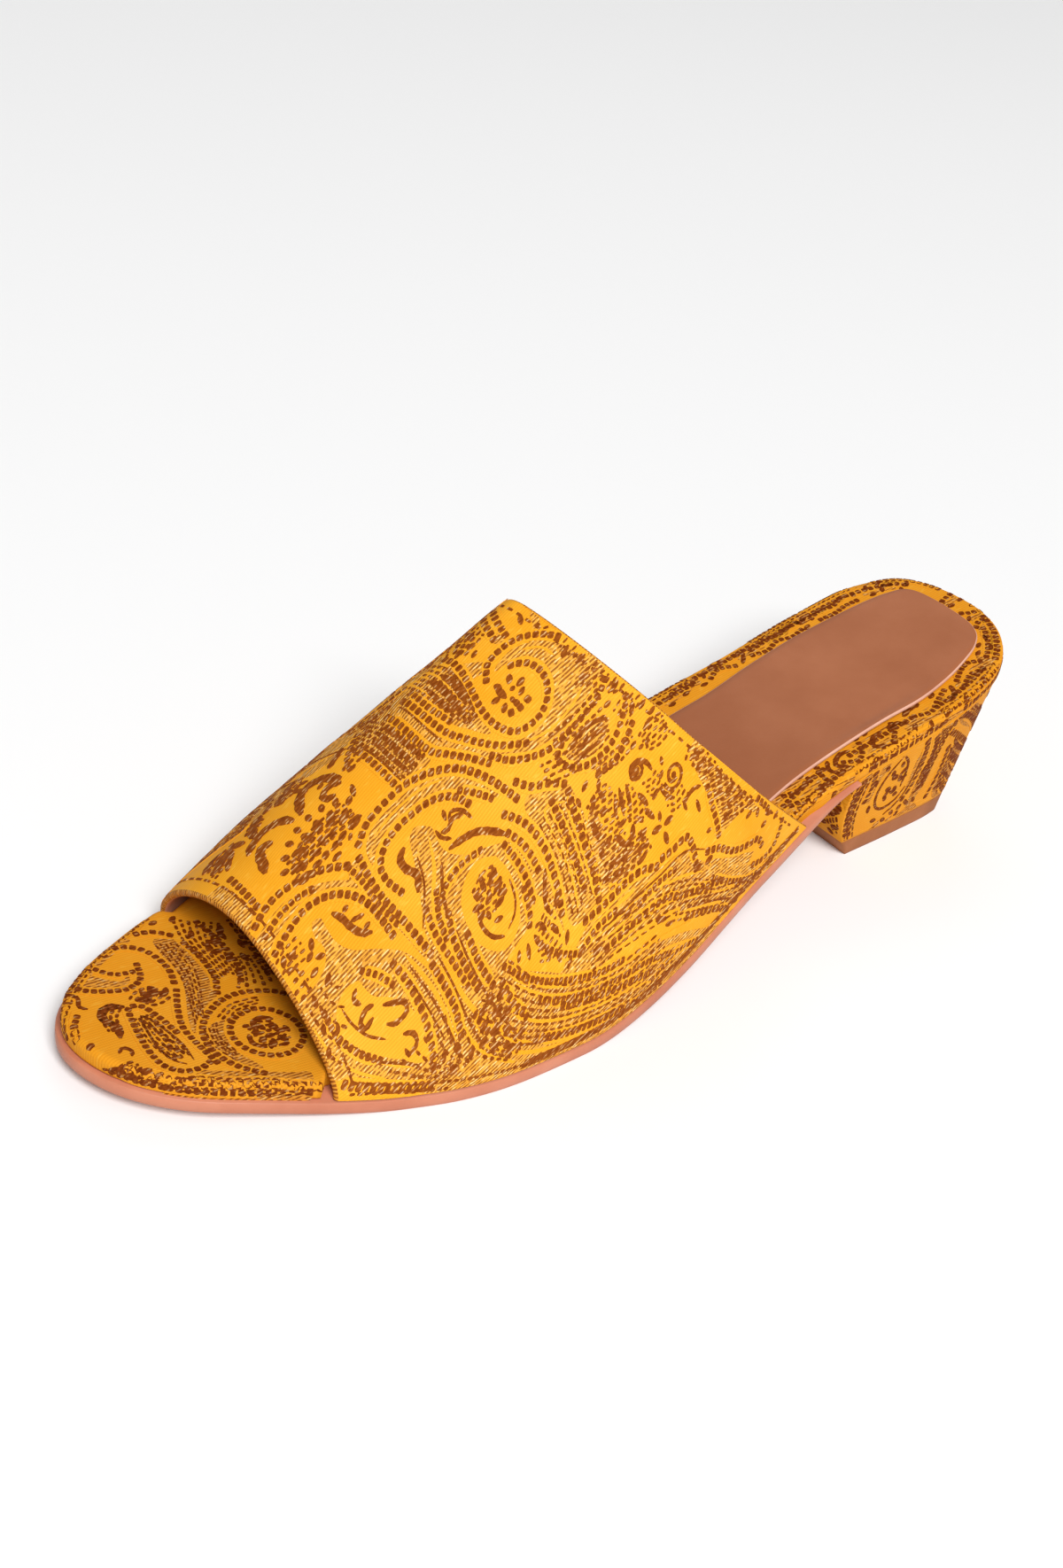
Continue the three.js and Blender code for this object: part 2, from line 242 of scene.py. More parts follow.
class Shader:
    """A short way to write a node material."""

    def __init__(self, name):
        self.material = bpy.data.materials.new(name)
        self.material.use_nodes = True
        self.tree = self.material.node_tree
        self.shader = self.tree.nodes["Principled BSDF"]

    def node(self, kind, inputs=None, **settings):
        made = self.tree.nodes.new(kind)
        for key, value in settings.items():
            setattr(made, key, value)
        for key, value in (inputs or {}).items():
            self.put(made.inputs[key], value)
        return made

    def put(self, socket, value):
        if isinstance(value, bpy.types.NodeSocket):
            self.tree.links.new(value, socket)
        else:
            socket.default_value = value

    def math(self, operation, a, b):
        return self.node("ShaderNodeMath", {0: a, 1: b}, operation=operation).outputs[0]

    def blend(self, factor, a, b):
        return self.node("ShaderNodeMix", {0: factor, 6: a, 7: b}, data_type="RGBA").outputs[2]

    def steps(self, value, low, high, to_low=0.0, to_high=1.0):
        """A value's place between low and high, clamped."""
        made = self.node("ShaderNodeMapRange", {0: value, 1: low, 2: high, 3: to_low, 4: to_high})
        return made.outputs[0]

    def noise(self, vector, scale, detail):
        inputs = {"Vector": vector, "Scale": scale, "Detail": detail, "Roughness": 0.55}
        return self.node("ShaderNodeTexNoise", inputs).outputs[0]

    def turned(self, vector, degrees, scale=(1, 1, 1)):
        inputs = {"Vector": vector, "Rotation": (0, 0, math.radians(degrees)), "Scale": scale}
        return self.node("ShaderNodeMapping", inputs).outputs[0]

    def threads(self, vector, pitch, wobble):
        """0..1 stripes across X, one every `pitch` metres."""
        inputs = {"Vector": vector, "Scale": STRIPES_A_UNIT / pitch, "Distortion": wobble, "Detail": 2.0}
        return self.node("ShaderNodeTexWave", inputs).outputs[1]

    def bump(self, height, distance, strength):
        inputs = {"Height": height, "Distance": distance, "Strength": strength}
        return self.node("ShaderNodeBump", inputs).outputs[0]

    def finish(self, **inputs):
        for key, value in inputs.items():
            self.put(self.shader.inputs[key.replace("_", " ")], value)
        return self.material


def colour(r, g, b, shade_tone=1.0):
    """A colour as seen on the screen, 0..255, made linear; the last argument under 1 makes it deeper and
    redder, as painted shade.
    """
    def linear(c):
        c /= 255
        return c / 12.92 if c <= 0.04045 else ((c + 0.055) / 1.055) ** 2.4
    return (linear(r) * shade_tone, linear(g) * shade_tone ** 1.5, linear(b) * shade_tone ** 2, 1.0)


def satin_ground(name, shade_tone):
    """Gold satin with a fine diagonal weave and pale flecks."""
    s = Shader(name)
    cloth = s.node("ShaderNodeUVMap", uv_map="cloth").outputs[0]
    place = s.node("ShaderNodeTexCoord").outputs["Object"]
    diagonal = s.threads(s.turned(cloth, 93), 0.00062, 0.5)
    crossing_threads = s.threads(s.turned(cloth, 4), 0.00046, 0.3)
    cloud = s.noise(place, 55, 2)
    fleck = s.steps(s.noise(s.turned(cloth, 0, (300, 1400, 1)), 1.0, 1), 0.6, 0.75)
    base = s.blend(s.steps(cloud, .3, .7), colour(240, 162, 30, shade_tone), colour(248, 175, 46, shade_tone))
    # Darker in the hollows between the diagonal threads: painted shade.
    hollow_shade = s.math("MULTIPLY", s.math("SUBTRACT", 1.0, diagonal), .34)
    base = s.blend(hollow_shade, base, colour(212, 130, 10, shade_tone))
    base = s.blend(s.math("MULTIPLY", fleck, .3), base, colour(255, 208, 84, shade_tone))
    height = s.math("ADD", s.math("MULTIPLY", diagonal, .6), s.math("MULTIPLY", crossing_threads, .4))
    normal = s.bump(height, 0.00006, .6)
    return s.finish(Base_Color=base, Roughness=.6, Specular_IOR_Level=.08, Normal=normal)


def mixed_weave(name, shade_tone):
    """Gold and brown threads in short broken lines along the shoe."""
    s = Shader(name)
    cloth = s.node("ShaderNodeUVMap", uv_map="cloth").outputs[0]
    rib = s.threads(s.turned(cloth, 93), 0.00074, 1.4)
    broken = s.noise(s.turned(cloth, 3, (760, 1400, 1)), 1.0, 1)
    pale = s.noise(s.turned(cloth, -4, (640, 1500, 1)), 1.0, 1)
    patch = s.noise(s.turned(cloth, 10, (110, 90, 1)), 1.0, 3)
    dark = s.math("MULTIPLY", s.steps(rib, .78, .36), s.steps(broken, .38, .5))
    base = s.blend(s.steps(patch, .35, .65), colour(232, 160, 54, shade_tone), colour(244, 174, 66, shade_tone))
    base = s.blend(s.math("MULTIPLY", dark, .95), base, colour(150, 84, 24, shade_tone))
    glint = s.math("MULTIPLY", s.steps(rib, .5, .8), s.steps(pale, .53, .63))
    base = s.blend(s.math("MULTIPLY", glint, .6), base, colour(255, 228, 160, shade_tone))
    normal = s.bump(rib, 0.00012, .6)
    return s.finish(Base_Color=base, Roughness=.64, Specular_IOR_Level=.08, Normal=normal)


def brown_yarn(name, shade_tone):
    """Brown floats with a few pale glints."""
    s = Shader(name)
    cloth = s.node("ShaderNodeUVMap", uv_map="cloth").outputs[0]
    strand = s.threads(s.turned(cloth, 94), 0.0008, 1.2)
    broken = s.noise(s.turned(cloth, 4, (620, 1400, 1)), 1.0, 1)
    glint = s.math("MULTIPLY", s.steps(strand, .5, .8), s.steps(broken, .54, .62))
    base = s.blend(s.steps(broken, .3, .7), colour(124, 57, 8, shade_tone), colour(162, 88, 24, shade_tone))
    base = s.blend(s.math("MULTIPLY", glint, .75), base, colour(232, 190, 128, shade_tone))
    normal = s.bump(strand, 0.00012, .6)
    return s.finish(Base_Color=base, Roughness=.7, Specular_IOR_Level=.06, Normal=normal)


def leather(name, light, dark, grain, rough, shade_colour=None):
    """A leather; its last colour, if given, is painted shade, which it takes towards the band, fully from the
    middle of the shoe on.
    """
    s = Shader(name)
    place = s.node("ShaderNodeTexCoord").outputs["Object"]
    cells = s.node("ShaderNodeTexVoronoi", {"Vector": place, "Scale": grain}).outputs[0]
    cloud = s.noise(place, 60, 4)
    base = s.blend(s.steps(cloud, .3, .7), dark, light)
    # Painted shade: darker towards the toe, where the band shades the sock.
    if shade_colour:
        along = s.node("ShaderNodeSeparateXYZ", {"Vector": place}).outputs[0]
        base = s.blend(s.steps(along, .07, -.005), base, shade_colour)
    normal = s.bump(cells, 0.00003, .5)
    return s.finish(Base_Color=base, Roughness=s.steps(cloud, .3, .7, rough + .05, rough - .05),
                    Specular_IOR_Level=.25, Normal=normal)


GROUND = satin_ground("satin_ground", 1.0)
MIXED = mixed_weave("mixed_weave", 1.0)
YARN = brown_yarn("brown_yarn", 1.0)
SHADED_GROUND = satin_ground("shaded_ground", .84)  # painted shade: darker copies of the same three cloths, for the footbed, the heel and the band's rolled edges
SHADED_MIXED = mixed_weave("shaded_mixed", .76)
SHADED_YARN = brown_yarn("shaded_yarn", .66)
SHADED_CLOTHS = (SHADED_MIXED, SHADED_GROUND, SHADED_YARN)
LINING = leather("lining_leather", colour(214, 158, 128), colour(198, 138, 106), 1800, .6)
# The sock darkens towards the band: painted shade.
SOCK_LEATHER = leather("sock_leather", colour(168, 101, 64), colour(157, 92, 57), 2200, .48,
                       shade_colour=colour(143, 82, 48))
SOCK_EDGE = leather("sock_edge", colour(226, 178, 156), colour(206, 150, 128), 2200, .6)
SOLE_LEATHER = leather("sole_edge", colour(203, 132, 103), colour(185, 112, 84), 1500, .5)
TIP_LEATHER = leather("tip_leather", colour(166, 102, 58), colour(142, 84, 44), 1500, .6)


# The band: outside, rolled edges and lining as one sheet of cloth

# Soft bumps of the worn-in cloth: height in millimetres, share along, slant, share across, and the reach
# along and across
BUMPS = [
    (.5, .57, 0, .45, .03, .1), (.35, .66, .12, .5, .018, .2), (-.45, .705, .1, .55, .02, .25),
    (-.35, .5, -.2, .8, .02, .09), (.3, .56, -.2, .8, .025, .1)]
BAND_ROWS, BAND_COLUMNS, ROLL_ROWS = 120, 150, 6  # of the face, and round each rolled edge
ROLL_STEP = 0.35  # cloth millimetres from one row of the roll to the next
FACE, INSIDE, ROLL = 0, 1, 2  # the band's material slots


def undulation(at, v):
    """Troughs and ridges of the worn-in cloth, in millimetres, outwards."""
    lift = 0
    for height, along, slant, across, reach_along, reach_across in BUMPS:
        off_along = (at - along - slant * (v - across)) / reach_along
        off_across = (v - across) / reach_across
        lift = lift + height * np.exp(-off_along ** 2 - off_across ** 2)
    return lift * smooth(v, 0, .08) * smooth(1 - v, 0, .08)


def rolled_edge(face, out, i, step):
    """Rows from row i of the face round to the lining; step leads back into the face."""
    tangent = unit(face[i] - face[i + step])
    tangent = unit(tangent - out[i] * (tangent * out[i]).sum(-1, keepdims=True))
    rows = []
    for k in range(1, ROLL_ROWS + 1):
        a = math.pi * k / (ROLL_ROWS + 1)
        rows.append(face[i] - out[i] * WALL / 2 * (1 - math.cos(a)) + tangent * WALL / 2 * math.sin(a))
    return rows


def make_band():
    v = np.linspace(0, 1, BAND_COLUMNS + 1)
    inset = WALL / 2 / LENGTH
    toe, back = crossing(TOE_EDGE, v) - inset, crossing(BACK_EDGE, v) + inset
    at = mix(toe[None], back[None], np.linspace(0, 1, BAND_ROWS + 1)[:, None])
    v = np.broadcast_to(v[None], at.shape)
    out = band_out(at, v)
    face = band(at, v) + out * undulation(at, v)[..., None]
    arc = length_along(face, 1)
    arc -= arc[:, BAND_COLUMNS // 2][:, None]
    run = length_along(face, 0)
    run -= run[BAND_ROWS // 2][None]
    cloth = np.stack([run, arc], -1)

    rows = [(face[i], cloth[i], FACE) for i in range(BAND_ROWS + 1)]
    for k, row in enumerate(rolled_edge(face, out, BAND_ROWS, -1)):
        rows.append((row, cloth[BAND_ROWS] + [ROLL_STEP * (k + 1), 0], ROLL if k < ROLL_ROWS - 1 else INSIDE))
    for i in range(BAND_ROWS, -1, -2):
        rows.append((face[i] - out[i] * WALL, cloth[i], INSIDE))
    for k, row in enumerate(reversed(rolled_edge(face, out, 0, 1))):
        rows.append((row, cloth[0] - [ROLL_STEP * (ROLL_ROWS - k), 0], ROLL if k > 0 else INSIDE))

    points, cloths, slots = (np.array(column) for column in zip(*rows))
    n, m = points.shape[:2]
    first = np.arange(m - 1)
    last = first + (n - 1) * m
    quads = np.vstack([grid_quads(n, m), np.stack([last, last + 1, first + 1, first], -1)])
    # The rolled edges take the darker copy of the mixed weave: painted shade.
    made = mesh_object("band", points.reshape(-1, 3), quads, [GROUND, LINING, SHADED_MIXED],
                       np.repeat(slots, m - 1), cloths.reshape(-1, 2))
    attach(made, "root")
    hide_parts("upper")


make_band()


# The sole

RIDGE_TO_FOOT = 0.45  # about, as a share of BALL_WIDTH
OUTSOLE_END = SEAT_FRONT + .003  # share of the length, just before the heel's breast
SKIVED = 0.09  # share of the length over which the outsole thins to its end
CURL_HEIGHT, CURL_AT, CURL_REACH = 0.9, 0.18, 0.05  # where the sock's outer edge lifts off the footbed


def beside(at, side):
    """1 where the band runs down beside the footbed, 0 elsewhere."""
    v = np.where(side > 0, 0.0, 1.0)
    back, toe = crossing(BACK_EDGE, v), crossing(TOE_EDGE, v)
    return smooth(at, back - .05, back - .004) * (1 - smooth(at, toe + .002, toe + .01))


def lean(at, side):
    """How far the band's wall leans in over the height of the footbed."""
    k = np.where(side > 0, pull_inner(at), pull_outer(at))
    t = (FOOTBED + GAP) / (3 * k * INSTEP * crown_at(at))
    return 3 * t * t * (1 - k) * BALL_WIDTH * RIDGE_TO_FOOT


def share_of(turn):
    return (1 - math.cos(turn)) / 2


def plate(name, edge, turns, profile, materials, mid, side_slot=0, close_start=False, close_end=False):
    """A plate over the sole line; profile gives rows of (inset, height) for a turn and side, lowest first."""
    def across(start, end, height):
        line = [mix(start, end, t) for t in np.linspace(0, 1, mid + 2)[1:-1]]
        return np.array([(x, y, float(underside(x)) + height) for x, y, _ in line])

    rings = []
    for turn in turns:
        half = {}
        for side in (-1, 1):
            rows = [(*edge(turn, side, inset), height) for inset, height in profile(turn, side)]
            half[side] = np.array([(x, y, float(underside(x)) + height) for x, y, height in rows])
        outer, inner = half[-1], half[1][::-1]
        heights = [height for _, height in profile(turn, 1)]
        rings.append(np.vstack([outer, across(outer[-1], inner[0], heights[-1]), inner,
                                across(inner[-1], outer[0], heights[0])]))
    points = np.array(rings)
    n, m = points.shape[:2]
    points = points.reshape(-1, 3)
    half_ring = [side_slot] * (len(heights) - 1) + [0] * (mid + 1)
    slots = 2 * half_ring * (n - 1)
    faces = [tuple(q) for q in grid_quads(n, m, wrap=True)]
    if close_start:
        faces.append(tuple(range(m)))
        slots.append(side_slot)
    if close_end:
        faces.append(tuple(range((n - 1) * m, n * m))[::-1])
        slots.append(side_slot)
    faces, kept = clean(points, faces)
    return mesh_object(name, points, faces, materials, np.array(slots)[kept], points[:, :2].copy())


def footbed_profile(turn, side):
    at = share_of(turn)
    wall = LEDGE + WALL + GAP + float(lean(at, side))
    edge = mix(MARGIN, wall, float(beside(at, side)))
    bottom, top = OUTSOLE + GAP, OUTSOLE + GAP + FOOTBED
    rows = [(edge + .5, bottom), (edge + .12, bottom + .18), (edge, bottom + .6), (edge, top - ROUND)]
    for a in np.linspace(0, math.pi / 2, 6)[1:]:
        rows.append((edge + ROUND * (1 - math.cos(a)), top - ROUND * (1 - math.sin(a))))
    return rows


def outsole_profile(turn, side):
    low = (OUTSOLE - SKIVE) * (1 - float(smooth(share_of(turn), OUTSOLE_END, OUTSOLE_END + SKIVED)))
    top = OUTSOLE
    middle = low + .5 * (top - low)
    return [(.6, low), (.25, low + .08), (.05, low + .3), (0, middle), (.05, top - .25), (.3, top)]


def sock_profile(turn, side):
    off = (share_of(turn) - CURL_AT) / CURL_REACH
    curl = CURL_HEIGHT * math.exp(-off ** 2) if side < 0 else 0.0
    bottom = OUTSOLE + FOOTBED + 2 * GAP + curl
    return [(.25, bottom), (.05, bottom + .15), (0, bottom + .5), (.08, bottom + .85), (.3, bottom + SOCK)]


def make_footbed():
    turns = np.linspace(0, math.pi, 201)
    # The footbed's cloth is the darker copy: painted shade.
    footbed = plate("wrapped_footbed", rim, turns, footbed_profile, [SHADED_GROUND], mid=40)
    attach(footbed, "root")
    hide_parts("footbed")


def make_outsole():
    turns = np.linspace(float(turn_of(OUTSOLE_END)), math.pi, 161)
    outsole = plate("leather_outsole", rim, turns, outsole_profile, [SOLE_LEATHER], mid=4, close_start=True)
    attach(outsole, "root")
    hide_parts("outsole")


def make_sock():
    start, end = SOCK_PLAN["at"][[0, -1]]
    turns = np.linspace(0, math.acos(1 - 2 * (end - start) / (1 - start)), 121)
    sock = plate("sock_sheet", sock_rim, turns, sock_profile, [SOCK_LEATHER, SOCK_EDGE], mid=20, side_slot=1,
                 close_end=True)
    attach(sock, "root")
    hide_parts("heel_sock")


make_footbed()
make_outsole()
make_sock()


# The heel

HEEL_LINES = 60  # from the outer breast corner to the back, and again to the inner corner
tip_back = through(TIP_PLAN["along"], TIP_PLAN["back"])
tip_inner = through(TIP_PLAN["along"], TIP_PLAN["inner"])
tip_outer = through(TIP_PLAN["along"], TIP_PLAN["outer"])


def heel_lines():
    """Floor and seat ends of the straight lines round the heel, from the outer breast to the inner one."""
    along = np.r_[np.linspace(0, 1, HEEL_LINES + 1), np.linspace(1, 0, HEEL_LINES + 1)[1:]]
    side = np.r_[np.full(HEEL_LINES + 1, -1), np.full(HEEL_LINES, 1)]
    reach = np.where(side > 0, tip_inner(along), -tip_outer(along))
    floor = np.stack([LENGTH * (.5 - tip_back(along)), BALL_WIDTH * reach, 0 * along], -1)
    p = rim(turn_of(SEAT_FRONT) * (1 - along), side, MARGIN + .3)
    seat = np.column_stack([p, underside(p[:, 0]) + OUTSOLE])
    return floor, seat, along


def heel_point(floor, seat, along, w):
    """A place on each line, w from its floor end to its seat end; the breast swells forward."""
    p = mix(floor, seat, w[..., None])
    p[..., 0] -= LENGTH * BREAST_SWELL * np.sin(math.pi * w) * (1 - along) ** 3
    return p


def heel_rows(heights):
    """Rings of the heel: heights are (millimetres over the floor, share of the rest up to the seat)."""
    floor, seat, along = heel_lines()
    return np.array([heel_point(floor, seat, along, mix(h / seat[:, 2], 1, share)) for h, share in heights])


def breast_rows(rings, across):
    """The breast, drawn between the two ends of each ring."""
    return np.array([[mix(r[-1], r[0], t) for t in np.linspace(0, 1, across + 2)[1:]] for r in rings])


def heel_piece(name, heights, materials):
    rings = heel_rows(heights)
    rings = np.concatenate([rings, breast_rows(rings, 12)[:, :-1]], 1)
    n, m = rings.shape[:2]
    points = rings.reshape(-1, 3)
    faces = [tuple(q) for q in grid_quads(n, m, wrap=True)]
    last = 2 * HEEL_LINES
    for i, step in ((0, -1), (n - 1, 1)):
        for j in range(HEEL_LINES):
            quad = (j, j + 1, last - 1 - j, last - j)[::step]
            faces.append(tuple(i * m + c for c in quad))
    faces, _ = clean(points, faces)
    uv = np.stack([length_along(rings, 1), length_along(rings, 0)], -1).reshape(-1, 2)
    return mesh_object(name, points, faces, materials, None, uv)


def make_heel():
    # The heel's cloth is the darker copy: painted shade.
    block = heel_piece("covered_heel", [(TIP, s) for s in np.linspace(0, 1, 40)], [SHADED_GROUND])
    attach(block, "root")
    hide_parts("heel_block")
    tip = heel_piece("top_piece", [(h, 0) for h in np.linspace(0, TIP, 8)], [TIP_LEATHER])
    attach(tip, "root")
    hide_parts("heel_tip")


make_heel()
